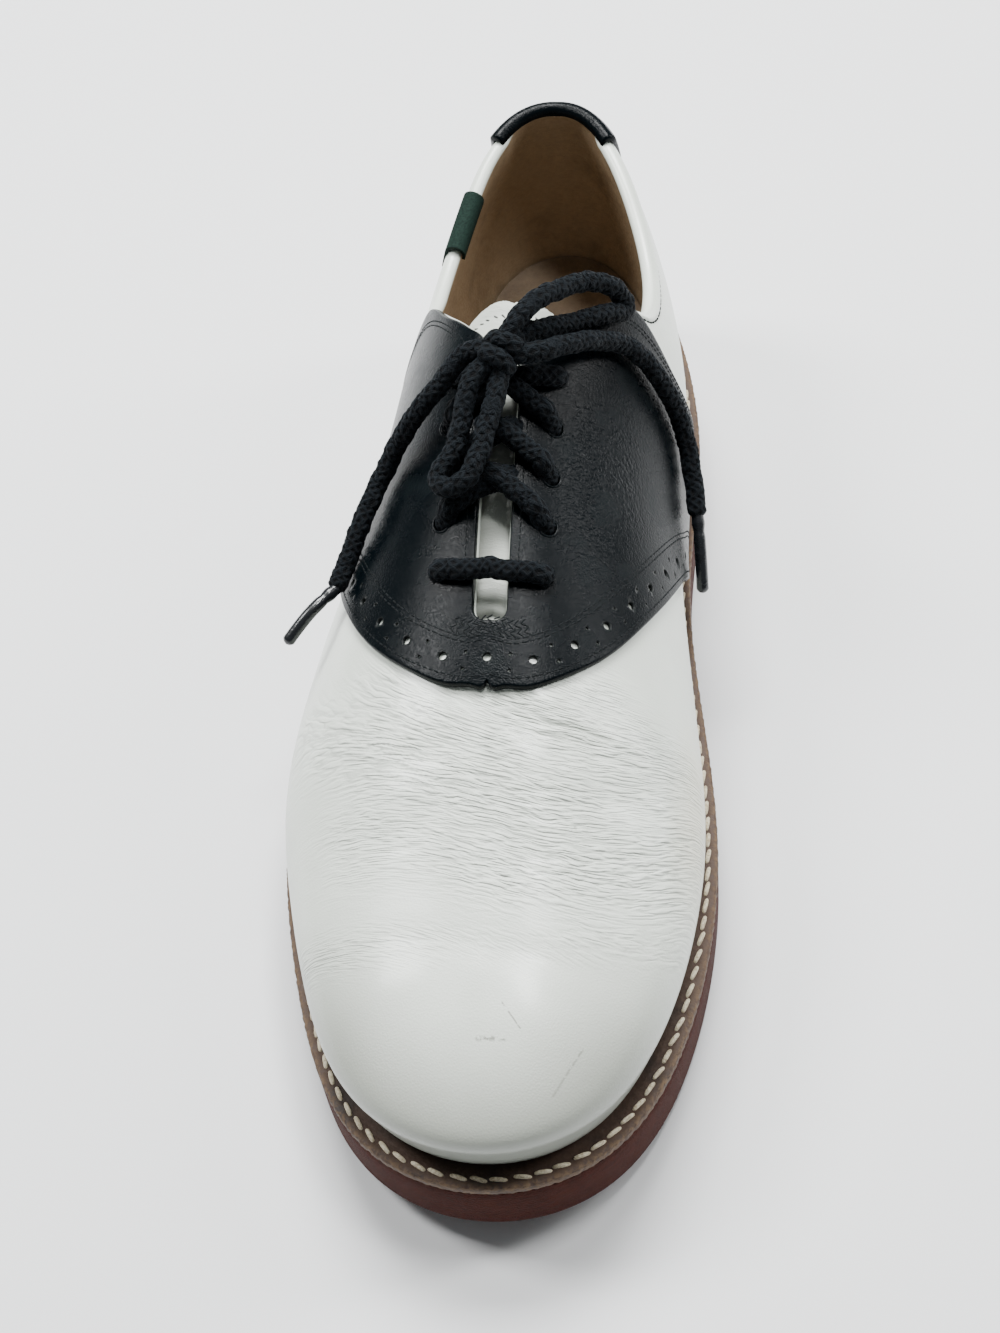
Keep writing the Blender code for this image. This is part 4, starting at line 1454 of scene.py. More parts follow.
class Finishes:
    """Every material of the shoe."""

    def __init__(self) -> None:
        """Build the shared effects and then each material."""
        effects = Effects()
        self.white = WhiteLeather().material(effects)
        # The tongue's near-black second colour is painted shade at its fold and beside the
        # facings, and the colour of its dust specks.
        self.tongue = WhiteLeather(name="tongue_leather", base=(0.50, 0.53, 0.48, 1.0),
                                   dirt_and_shade=(0.012, 0.014, 0.010, 1.0), roughness=0.55,
                                   coat=0.0).material(effects)
        self.black = BlackLeather().material(effects)
        self.welt = RawLeather("welt_leather", (0.048, 0.023, 0.012, 1.0),
                               (0.020, 0.010, 0.006, 1.0),
                               (0.150, 0.092, 0.048, 1.0)).material(effects)
        self.lining = RawLeather("lining_leather", (0.38, 0.28, 0.175, 1.0),
                                 (0.25, 0.178, 0.108, 1.0), (0.50, 0.39, 0.26, 1.0),
                                 roughness=0.5).material(effects)
        self.insole = RawLeather("insole_leather", (0.20, 0.145, 0.090, 1.0),
                                 (0.13, 0.090, 0.055, 1.0), (0.30, 0.23, 0.15, 1.0),
                                 roughness=0.45).material(effects)
        self.rubber = BrickRubber().material(effects)
        self.lace = Braid().material(effects)
        self.green = Thread("green_tape", (0.005, 0.017, 0.012, 1.0),
                            (0.002, 0.008, 0.006, 1.0), 0.8).material(effects)
        self.cream = Thread("cream_thread", (0.66, 0.60, 0.46, 1.0),
                            (0.36, 0.29, 0.19, 1.0)).material(effects)
        self.dark = Thread("dark_thread", (0.004, 0.006, 0.007, 1.0),
                           (0.001, 0.002, 0.002, 1.0)).material(effects)
        self.grey = Thread("grey_thread", (0.16, 0.165, 0.155, 1.0),
                           (0.05, 0.052, 0.05, 1.0), 0.6).material(effects)
        self.tip = Thread("lace_tip", (0.008, 0.009, 0.011, 1.0),
                          (0.004, 0.005, 0.006, 1.0), 0.2, 1.5, 0.5).material(effects)


@dataclass
class Crease:
    """One main crease of the vamp: its way in plan, in millimetres, and its depth."""

    way: tuple
    depth: float


CREASES = (
    Crease(((-28, -48.5), (-21, -56.5), (-13.5, -60)), 0.7),
    Crease(((-21, -47.5), (-13, -56), (-4, -60.5), (1.5, -61.5)), 0.9),
    Crease(((-20, -48.5), (-16, -56), (-10, -62.5)), 0.8),
    Crease(((-44, -50.5), (-33.5, -57), (-18.5, -62.5), (-3.5, -70), (7, -73)), 1.0),
    Crease(((-38, -58), (-21.5, -64), (-5, -70), (8.5, -74.5)), 1.0),
    Crease(((-29, -65), (-15, -69.5), (-2.5, -74), (10, -77)), 1.0),
    Crease(((-24.5, -69.5), (-10.5, -73.5), (1, -77.5), (10, -78)), 0.8),
    Crease(((-9.5, -60), (0, -62.5), (8.5, -63)), 0.7),
    Crease(((-30.5, -78.5), (-22, -79.5), (-14, -80)), 0.4),
    Crease(((-28.5, -81.5), (-13.5, -82.5), (-1.5, -86.5), (6, -87)), 0.6),
    Crease(((-27.5, -86.5), (-17, -87), (-8, -86.5)), 0.4),
    Crease(((-4, -88.5), (2.5, -90.5), (11, -93)), 0.6),
    Crease(((3, -53), (12.5, -57.5), (22, -57), (29.5, -57), (37, -53.5)), 1.3),
    Crease(((8, -52.5), (16, -57), (24.5, -57), (34, -58), (45, -55)), 1.2),
    Crease(((19, -54.5), (22.5, -51), (26.5, -47.5)), 0.7),
    Crease(((21.5, -55.5), (25.5, -51.5), (29, -49)), 0.6),
    Crease(((4, -60.5), (9.5, -59.5), (15, -58.5)), 0.8),
    Crease(((4, -64.5), (13, -60.5), (24.5, -59.5), (37.5, -57)), 0.9),
    Crease(((25, -62.5), (36.5, -61), (46.5, -57.5)), 0.7),
    Crease(((35.5, -68), (45, -69), (49, -68)), 0.6),
    Crease(((5, -73.5), (15.5, -73), (23, -70)), 0.9),
    Crease(((5, -75), (16.5, -75.5), (27.5, -73)), 1.0),
    Crease(((5.5, -78), (20.5, -79), (31.5, -77)), 0.9),
    Crease(((12, -82.5), (24.5, -82), (29.5, -81.5)), 0.6),
    Crease(((6.5, -88.5), (23, -87), (38, -82), (49, -69)), 1.0),
    Crease(((10.5, -90.5), (25.5, -90), (39.5, -84.5), (46, -77.5)), 1.0),
    Crease(((15, -91.5), (29, -91), (46, -86.5)), 0.9),
    Crease(((22, -93), (26, -94.5), (29.5, -95.5)), 0.5),
)


@dataclass
class CreaseField:
    """Main creases as troughs, and the way that the fine ones run between them."""

    creases: tuple = CREASES
    width: float = 0.6 * MM
    relief: float = 0.2 * MM
    spread: float = 7.5 * MM
    degree: int = 4
    calm: float = 0.75
    middle: tuple = (0.004, -0.070)
    reach: tuple = (0.055, 0.045)

    def basis(self, x: Array, y: Array) -> Array:
        """Products of powers of the scaled plan coordinates, array (n, terms).

        Args:
            x: Plan coordinates across the shoe.
            y: Plan coordinates along the shoe.

        Returns:
            One value for each pair of powers, in the last axis.
        """
        a = np.clip((x - self.middle[0]) / self.reach[0], -1, 1)
        b = np.clip((y - self.middle[1]) / self.reach[1], -1, 1)
        powers = [(i, k) for i in range(1, self.degree) for k in range(self.degree - i)]
        return np.stack([a ** i * b ** k for i, k in powers], -1)

    def ways(self) -> list[tuple[Array, float]]:
        """Each crease as 24 smooth points in metres, with its depth."""
        return [(through(np.array(crease.way) * MM, 24), crease.depth)
                for crease in self.creases]

    def across(self, x: Array, y: Array) -> Array:
        """Coordinate that is level along the creases and grows forward across them.

        It is -y plus a polynomial of x and y. The polynomial's factors are the least
        squares answer to: neighbouring points of a crease have the same value.

        Args:
            x: Plan coordinates across the shoe.
            y: Plan coordinates along the shoe.

        Returns:
            The coordinate, an array of their shape, in metres.
        """
        rows, wanted = [], []
        for way, depth in self.ways():
            terms = self.basis(*way.T)
            rows.append(np.diff(terms, axis=0) * depth)
            wanted.append(np.diff(way[:, 1]) * depth)
        matrix, right = np.concatenate(rows), np.concatenate(wanted)
        damp = np.eye(matrix.shape[1]) * 0.01
        factors = np.linalg.lstsq(np.concatenate([matrix, damp]),
                                  np.concatenate([right, np.zeros(len(damp))]), rcond=None)[0]
        return self.calm * self.basis(x, y) @ factors - y

    def relief_at(self, x: Array, y: Array) -> tuple[Array, Array]:
        """Height of the surface, and how much it flexes.

        Args:
            x: Plan coordinates of the points.
            y: The same.

        Returns:
            Height: for each crease a trough exp(-(d/w)^2) with a ridge on both sides,
            fading out at its ends. Flex: a soft band round all creases, 0 to 1.
        """
        height, flex = np.zeros(x.shape), np.zeros(x.shape)
        for way, depth in self.ways():
            best, fade = np.full(x.shape, 1.0), np.zeros(x.shape)
            for i, (start, stop) in enumerate(zip(way, way[1:])):
                step = stop - start
                share = np.clip(((x - start[0]) * step[0] + (y - start[1]) * step[1])
                                / (step @ step), 0, 1)
                gap = np.hypot(x - start[0] - step[0] * share, y - start[1] - step[1] * share)
                run = (i + share) / (len(way) - 1)
                fade = np.where(gap < best, smooth(np.minimum(run, 1 - run), 0, 0.3), fade)
                best = np.minimum(best, gap)
            trough = -np.exp(-(best / self.width) ** 2)
            ridge = 0.5 * np.exp(-((best - 1.7 * self.width) / self.width) ** 2)
            height += (trough + ridge) * fade * depth * self.relief
            soft = np.exp(-(best / self.spread) ** 2)
            flex = np.maximum(flex, soft * min(1.0, 0.4 + depth * 0.6))
        return height, flex


@dataclass
class UpperLeather:
    """White vamp and quarters with their lining, in the place of the CAD upper."""

    pattern: Pattern
    wall: float = 0.0022
    split: float = math.radians(70)
    roll_rows: int = 9
    pad: float = 0.0015
    flat: float = 0.8
    fullness: float = 0.0018
    bead: float = 0.0005
    bead_width: float = 0.0034
    groove: float = 0.0003
    groove_width: float = 0.0005
    # Strength of the painted shade that darkens the toe's lower part towards the welt.
    toe_shade: float = 1.0
    band: float = -0.1085
    band_bend: float = 0.009
    band_width: float = 0.0048
    hollows: tuple = (
        ((6.0, -56.0), (19.0, 4.5), -22.0, 0.75), ((-14.0, -66.0), (13.0, 5.0), 14.0, 0.45),
        ((33.0, -70.0), (12.0, 4.5), 24.0, 0.50), ((19.0, -52.5), (8.0, 4.0), -18.0, -0.45),
        ((-22.0, -84.0), (12.0, 6.0), 8.0, 0.35), ((16.0, -86.0), (16.0, 6.0), -12.0, 0.35),
        ((4.0, -109.0), (24.0, 4.0), -4.0, 0.35), ((-14.0, -118.0), (9.0, 7.0), 20.0, -0.30),
        ((20.0, -124.0), (9.0, 7.0), -20.0, -0.30))
    creases: CreaseField = field(default_factory=CreaseField)

    def columns(self, side: int, phi: Array, rows: int,
                crowd: float) -> tuple[Array, Array, Array, Array]:
        """Places, outer and inner wall of some columns.

        Args:
            side: +1 inner, -1 outer.
            phi: Places of the columns.
            rows: Rows of the outer wall.
            crowd: How much the rows crowd to the top, 1 for not at all.

        Returns:
            psi of the outer rows (a, rows), outer wall (a, rows + roll, 3), inner wall
            (a, 22, 3), and which columns have a free top. The rolled edge is half an
            ellipse between the walls: middle + wall / 2 (cos t normal + flat sin t out).
            The wall swells inwards under it round the collar.
        """
        last = self.pattern.last
        line = self.pattern.top_line(side)
        free = phi <= last.spine_phi(self.pattern.throat_end) + 1e-9
        top = np.where(free, np.interp(phi, line[:, 0], line[:, 1]), SPINE)
        top = np.where(free, top - self.set_back(side, phi, top), top)
        rise = 1 - (1 - np.linspace(0, 1, rows)) ** crowd
        psi = last.feather + (top - last.feather)[:, None] * rise
        wide = np.broadcast_to(phi[:, None], psi.shape)
        sides = np.full(psi.shape, side)
        outer = last.skin(sides, wide, psi, 0.0)
        share = 1 - (1 - np.linspace(0, 1, 22)) ** 1.8
        low = last.feather + (top - last.feather)[:, None] * share
        pad = self.pad * smooth(phi, 0.30, 0.42) * (
            1 - smooth(phi, math.radians(57), math.radians(64)))
        swell = pad[:, None] * smooth(share, 0.84, 0.97)
        inner = last.skin(np.full(low.shape, side), np.broadcast_to(phi[:, None], low.shape),
                          low, -self.wall - swell)
        wall = (self.wall + pad)[:, None]
        normal = last.normal(np.full(phi.shape, side), phi, top)
        tangent = unit(np.gradient(outer[:, -1], axis=0))
        ahead = unit(np.cross(normal, tangent) * -side)
        middle = last.skin(np.full(phi.shape, side), phi, top, -wall[:, 0] / 2)
        turn = np.linspace(0, math.pi, self.roll_rows + 2)[1:-1]
        roll = middle[:, None] + wall[..., None] / 2 * swung(turn, normal, self.flat * ahead)
        roll = np.where(free[:, None, None], roll, outer[:, -1:])
        return psi, np.concatenate([outer, roll], 1), inner, free

    def set_back(self, side: int, phi: Array, top: Array) -> Array:
        """Psi by which the rows stop short, so that the rolled edge ends near the line.

        Args:
            side: +1 for the inner side, -1 for the outer.
            phi: Place round the shoe.
            top: Psi of the open edge.

        Returns:
            Change of psi, an array of phi's shape.
        """
        last = self.pattern.last
        sides = np.full(phi.shape, side)
        _, up = last.slopes(sides, phi, top)
        tangent = unit(np.gradient(last.point(sides, phi, top), axis=0))
        ahead = unit(np.cross(last.normal(sides, phi, top), tangent) * -side)
        reach = np.maximum(np.sum(up * ahead, -1), 0.45 * np.linalg.norm(up, axis=-1))
        return self.wall * 0.33 / reach

    def surface(self, side: int, phi: Array, rows: int, crowd: float,
                creased: bool) -> dict[str, Array]:
        """Columns with relief, flat coordinates and marks for one side.

        Args:
            side: +1 for the inner side, -1 for the outer.
            phi: Places of the columns.
            rows: Rows of the outer wall.
            crowd: How much the rows crowd to the top, 1 for not at all.
            creased: Whether it is the vamp, or else the quarters with their bead.

        Returns:
            Arrays by name: outer and inner wall, which columns are free at the top,
            flat coordinates and marks.
        """
        last = self.pattern.last
        psi, outer, inner, free = self.columns(side, phi, rows, crowd)
        wide = np.broadcast_to(phi[:, None], psi.shape)
        sides = np.full(psi.shape, side)
        normal = last.normal(sides, wide, psi)
        base = outer[:, :rows]
        run = np.concatenate([np.zeros((len(phi), 1)), np.cumsum(
            np.linalg.norm(np.diff(base, axis=1), axis=2), axis=1)], 1)
        below_top = run[:, -1:] - run
        x, y = base[..., 0], base[..., 1]
        marks = np.zeros((*outer.shape[:2], 3))
        if creased:
            height, marks[:, :rows] = self.worn(x, y, np.degrees(psi), np.degrees(wide))
        else:
            height = self.beaded(below_top) * (free & (phi < math.radians(62)))[:, None]
            marks[:, :rows, Mark.FLEX.value] = 0.12
        outer[:, :rows] += normal * height[..., None]
        uv = np.stack([side * below_top, self.creases.across(x, y) if creased else -y], -1)
        uv = np.concatenate([uv, np.repeat(uv[:, -1:], self.roll_rows, 1)], 1)
        return {"outer": outer, "inner": inner, "free": free, "uv": uv, "marks": marks}

    def beaded(self, below_top: Array) -> Array:
        """Height of the collar's bead and of the sewn groove under it.

        Args:
            below_top: Distance below the open edge.

        Returns:
            Heights: half a sine to a power for the bead, less exp(-(d/w)^2) for the
            groove.
        """
        bead = self.bead * np.sin(math.pi * np.clip(below_top / self.bead_width, 0, 1)) ** 0.8
        off = (below_top - self.bead_width) / self.groove_width
        return bead - self.groove * np.exp(-off ** 2)

    def worn(self, x: Array, y: Array, psi: Array, phi: Array) -> tuple[Array, Array]:
        """Height and marks of the walked-in vamp.

        Args:
            x: Plan coordinates of the points.
            y: The same.
            psi: Places up the section in degrees.
            phi: Places round the shoe in degrees.

        Returns:
            Height: the creases, the hollows and the fullness over the toes. Marks: the
                creased field with a second, weaker band before it, painted shade that darkens
                the toe towards the welt, and a yellowed patch at the inner ball.
        """
        height, flex = self.creases.relief_at(x, y)
        middle = self.band + self.band_bend * smooth(x, 0.010, 0.048)
        weak = np.exp(-((y - middle) / self.band_width) ** 2) * (0.22 + 0.38 * smooth(
            np.abs(x - 0.008), 0.004, 0.024))
        patchy = 0.85 + 0.3 * ripple(x + 0.7 * y, 11, 6, 0.05) * ripple(y, 12, 6, 0.05)
        # Painted shade: the toe darkens towards the welt, fully below psi 25 degrees, and fades
        # out behind the toe.
        low = 1 - smooth(psi, 25, 72)
        marks = np.zeros((*x.shape, 3))
        marks[..., Mark.FLEX.value] = np.clip(np.maximum(flex, weak) * patchy, 0, 1)
        marks[..., Mark.TONE.value] = 0.6 * smooth(x, 0.042, 0.051) * smooth(
            -y, 0.03, 0.05) * (1 - smooth(-y, 0.065, 0.10))
        marks[..., Mark.WEAR.value] = self.toe_shade * low * smooth(-y, 0.09, 0.135)
        for place, reach, angle, depth in self.hollows:
            turned = (x - place[0] * MM + 1j * (y - place[1] * MM)) * np.exp(
                -1j * math.radians(angle))
            height -= depth * MM * np.exp(-(turned.real / (reach[0] * MM)) ** 2
                                          - (turned.imag / (reach[1] * MM)) ** 2)
        level = np.exp(-((psi - 12) / 24) ** 2)
        return height + self.fullness * level * smooth(phi, 98, 120), marks

    def closed(self, parts: list[dict[str, Array]], name: str, finishes: Finishes) -> None:
        """Join the two sides' columns into one wall and hang it on the CAD upper.

        Args:
            parts: Columns of both sides, as surface gives them.
            name: Name of the piece.
            finishes: Every material of the shoe.
        """
        whole = {key: np.concatenate([part[key] for part in parts]) for key in parts[0]}
        patch = shell(whole["outer"], whole["inner"], whole["uv"], whole["marks"],
                      whole["free"], inner_finish=1, roll=self.roll_rows)
        thing = patch.thing(name, [finishes.white, finishes.lining], "white_leather", 60)
        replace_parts(thing, "upper")

    def build(self, finishes: Finishes) -> None:
        """Vamp from the split to the toe and back, quarters round the heel.

        Args:
            finishes: Every material of the shoe.
        """
        end = float(self.pattern.last.spine_phi(self.pattern.throat_end))
        marks = (self.split, end - 0.05, end, math.radians(150), math.pi)
        counts = (44, 16, 150, 62)
        phi = np.concatenate([np.linspace(start, stop, count, endpoint=False)
                              for start, stop, count in zip(marks, marks[1:], counts)]
                             + [[math.pi]])
        front = [self.surface(1, phi, 104, 1.0, True), self.surface(-1, phi, 104, 1.0, True)]
        front[1] = {key: value[-2::-1] for key, value in front[1].items()}
        self.closed(front, "vamp", finishes)
        phi = np.linspace(0, self.split, 120)
        rear = [self.surface(-1, phi, 90, 1.6, False), self.surface(1, phi, 90, 1.6, False)]
        rear[0] = {key: value[:0:-1] for key, value in rear[0].items()}
        self.closed(rear, "quarters", finishes)
        self.seams().thing("collar_stitches", [finishes.dark], "black_leather", 60)

    def seams(self) -> Patch:
        """Row of stitches under the collar's bead, from the heel strip to the saddle.

        Returns:
            Stitches of both sides.
        """
        last, rows = self.pattern.last, []
        for side in (1, -1):
            line = self.pattern.top_line(side)
            line = line[(line[:, 0] > 0.44) & (line[:, 0] < 1.09)]
            sides, (phi, top) = np.full(len(line), side), line.T
            fall = np.linalg.norm(last.slopes(sides, phi, top)[1], axis=-1)
            psi = top - self.set_back(side, phi, top) - self.bead_width / fall
            rows.append(stitched(last.skin(sides, phi, psi, 0.0), last.normal(sides, phi, psi),
                                 0.0018, 0.0014, 0.0005, 0.0004, seed=3 + side))
        return Patch.join(rows)


@dataclass
class Bottom:
    """Rubber sole and heel, leather welt with its stitches, and the footbed."""

    last: Last
    steps: int = 150
    breast: float = 0.27
    round_edge: float = 0.0012
    welt_inner: float = 0.006
    insole: float = 0.004
    dish: float = 0.0022
    wall: float = 0.0022

    def raised(self, ring: Array, height: Array) -> Array:
        """Plan ring given a height for each point."""
        return np.column_stack([ring, np.broadcast_to(height, len(ring))])

    def inset(self, psi: float, distance: float, count: int) -> Array:
        """Plan ring at one psi, drawn in by the same distance all round."""
        return self.last.outline(psi, lambda s: np.full(s.shape, -distance), count)

    def crossed(self, count: int) -> Array:
        """Quads from side to side over a ring of that many points."""
        i = np.arange(count // 2)
        return np.stack([i, i + 1, (-i - 1) % count, (-i) % count], -1)

    def lofted(self, rings: list[Array]) -> Patch:
        """Walls between rings, with a cap across each end from side to side.

        Args:
            rings: Rings of as many points each, from below upwards.

        Returns:
            Walls and both caps.
        """
        stack = np.stack(rings)
        walls = Patch.grid(stack, uv=stack[..., :2], tube=True)
        quads = self.crossed(len(rings[0]))
        caps = [Patch.loose(rings[0], quads[:, ::-1]), Patch.loose(rings[-1], quads)]
        return Patch.join([walls, *caps])

    def sole(self, finishes: Finishes) -> None:
        """Outsole: straight wall with a rounded foot and a shallow bead at its top.

        Args:
            finishes: Every material of the shoe.
        """
        last, curve = self.last, self.last.curves["margin"]
        turn = np.linspace(0, SPINE, 6)
        profile = [(-self.round_edge * (1 - math.sin(t)), self.round_edge * (1 - math.cos(t)))
                   for t in turn]
        profile += [(0.0, last.sole * 0.5), (0.0, last.sole - 0.0012),
                    (-0.0002, last.sole - 0.0008), (-0.0002, last.sole - 0.0003),
                    (-0.0004, last.sole)]
        rings = []
        for out, up in profile:
            ring = last.outline(0.0, lambda station: curve(station) + out, self.steps)
            rings.append(self.raised(ring, last.lift(ring[:, 1]) + up))
        thing = self.lofted(rings).thing("rubber_sole", [finishes.rubber], "brick_rubber", 50)
        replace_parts(thing, "outsole")

    def heel(self, finishes: Finishes) -> None:
        """Heel block with a straight breast and a line between its two lifts.

        Args:
            finishes: Every material of the shoe.
        """
        last, curve = self.last, self.last.curves["margin"]
        phi = np.linspace(0, math.pi, self.steps + 1)
        keep = int(np.sum((1 - np.cos(phi)) / 2 < self.breast))
        profile = [(-0.0012, 0.0, 0.0), (-0.0003, 0.0003, 0.0), (0.0, 0.0012, 0.0),
                   (0.0, -0.0005, 0.5), (-0.0004, 0.0, 0.5), (0.0, 0.0005, 0.5),
                   (0.0, -0.0003, 1.0)]
        rings = []
        for out, add, share in profile:
            ring = last.outline(0.0, lambda station: curve(station) + out, self.steps)
            ring = np.concatenate([ring[:keep], ring[-keep + 1:]])
            rings.append(self.raised(ring, last.lift(ring[:, 1]) * share + add))
        thing = self.lofted(rings).thing("rubber_heel", [finishes.rubber], "brick_rubber", 40)
        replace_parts(thing, "heel")

    def welt(self, finishes: Finishes) -> None:
        """Welt: a flat leather ring whose outer edge is brushed and uneven.

        Args:
            finishes: Every material of the shoe.
        """
        last, curve = self.last, self.last.curves["margin"]
        outer = last.outline(0.0, curve, 700)
        inner = self.inset(last.feather, self.welt_inner, 700)
        run = lengths(outer)
        rough = ripple(run, 3, 26, 0.005)
        profile = ((0.0, 0.0), (0.45, 0.0), (0.62, 0.0), (0.74, -0.0001), (0.84, 0.00005),
                   (0.92, 0.0), (0.975, -0.0002), (1.0, -0.0007), (1.0, -0.0015), (1.0, -0.0024),
                   (0.98, -0.0029), (0.90, -0.003), (0.0, -0.003))
        rings = []
        for share, drop in profile:
            ring = inner + (outer - inner) * share
            top = last.welt_top(ring[:, 1])
            edge = smooth(np.array(share), 0.9, 1.0)
            uneven = 0.00012 * rough * edge
            ring = ring + unit(outer - inner) * uneven[:, None]
            bump = 0.00006 * ripple(run + share, 7, 20, 0.004) * edge * (drop > -0.0025)
            rings.append(self.raised(ring, top + drop + bump))
        grid = np.stack(rings, 1)
        marks = np.zeros((*grid.shape[:2], 3))
        wear = smooth(np.array([share for share, _ in profile]), 0.86, 1.0)
        marks[..., Mark.WEAR.value] = wear
        patch = Patch.grid(grid, marks=marks, ring=True, tube=True)
        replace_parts(patch.thing("leather_welt", [finishes.welt], "welt_leather", 70), "welt")
        row = inner + (outer - inner) * 0.80
        points = self.raised(row, last.welt_top(row[:, 1]) + 0.00025)
        points = np.concatenate([points, points[:1]])
        normals = np.tile([0.0, 0.0, 1.0], (len(points), 1))
        seam = stitched(points, normals, 0.0048, 0.0043, 0.0011, 0.0009, 0.16, 4, 0.0004)
        seam.thing("welt_stitches", [finishes.cream], "welt_leather", 60)

    def footbed(self, finishes: Finishes) -> None:
        """Insole with a softly dished top, its edge meeting the upper's lining.

        Args:
            finishes: Every material of the shoe.
        """
        last = self.last
        step = self.inset(last.feather, self.welt_inner + last.clear, 90)
        low = self.inset(last.feather, self.wall + 2 * last.clear, 90)
        top = self.inset(last.feather / 1.45, self.wall + 3 * last.clear, 90)
        count = len(top)
        i = np.arange(count // 2 + 1)
        left, right = top[i], top[(-i) % count]
        share = np.linspace(0, 1, 25)
        plan = left[:, None] + (right - left)[:, None] * share[None, :, None]
        width = np.linalg.norm(right - left, axis=1)[:, None]
        dish = self.dish * (1 - (2 * share - 1) ** 2) * np.minimum(width / 0.05, 1)
        height = last.welt_top(plan[..., 1]) + last.clear + self.insole - dish
        surface = np.concatenate([plan, height[..., None]], -1)
        rings = [self.raised(step, last.lift(step[:, 1]) + last.sole + last.clear),
                 self.raised(step, last.welt_top(step[:, 1]) + last.clear),
                 self.raised(low, last.welt_top(low[:, 1]) + last.clear),
                 self.raised(top, last.welt_top(top[:, 1]) + last.clear + self.insole)]
        walls = Patch.grid(np.stack(rings), tube=True)
        patch = Patch.join([walls, Patch.grid(surface),
                            Patch.loose(rings[0], self.crossed(count)[:, ::-1])])
        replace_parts(patch.thing("footbed", [finishes.insole], "insole_leather", 50), "insole")

    def build(self, finishes: Finishes) -> None:
        """All four pieces.

        Args:
            finishes: Every material of the shoe.
        """
        self.sole(finishes)
        self.heel(finishes)
        self.welt(finishes)
        self.footbed(finishes)


@dataclass
class Overlay:
    """Leather laid on the upper, with rounded edges."""

    pattern: Pattern
    gap: float = 0.0005
    thick: float = 0.0014
    edge: float = 0.0007

    def rounded(self, rim: Array) -> Array:
        """Height at a distance from the rim, rising along a quarter of an ellipse."""
        share = np.clip(rim / self.edge, 0, 1)
        return self.thick * np.sqrt(np.clip(1 - (1 - share) ** 2, 0, 1))

    def ruled(self, side: int, first: Array, second: Array, middle: int) -> tuple[Array, Array]:
        """Places and heights between two edges, rows crowded near both.

        Args:
            side: +1 inner, -1 outer.
            first: One edge, array (n, 2) of phi and psi.
            second: The other edge, of the same length.
            middle: Rows between the crowded ones.

        Returns:
            Places (n, m, 3) and heights (n, m) over the gap. Near an edge the height
            is thick * sqrt(1 - (1 - d / edge)^2), with d the distance from the edge.
        """
        last = self.pattern.last
        near = np.array([0, 0.04, 0.12, 0.25, 0.45, 0.7, 1.0]) * self.edge
        probe = np.linspace(0, 1, 9)
        way = first[:, None] + (second - first)[:, None] * probe[None, :, None]
        points = last.point(side, way[..., 0], way[..., 1])
        length = np.linalg.norm(np.diff(points, axis=1), axis=2).sum(1)[:, None]
        inner = np.linspace(0, 1, middle + 2)[1:-1]
        rest = near[-1] / length + inner * (1 - 2 * near[-1] / length)
        shares = np.concatenate([near / length, rest, 1 - near[::-1] / length], 1)
        places = first[:, None] + (second - first)[:, None] * shares[..., None]
        height = self.rounded(np.minimum(shares, 1 - shares) * length)
        sides = np.full((*places.shape[:2], 1), side)
        return np.concatenate([sides, places], -1), height

    def laid(self, places: Array, height: Array, marks: Array | None = None,
             ring: bool = False) -> Patch:
        """Closed overlay between the gap and its height over the surface.

        Args:
            places: Side, phi and psi, array (n, m, 3).
            height: Height over the gap, array (n, m).
            marks: Marks of the outer face.
            ring: Whether the last column meets the first.

        Returns:
            The closed wall.
        """
        last = self.pattern.last
        side, phi, psi = np.moveaxis(places, -1, 0)
        outer = last.skin(side, phi, psi, self.gap + height)
        inner = last.skin(side, phi, psi, self.gap * 0.2)
        return shell(outer, inner, marks=marks, ring=ring)


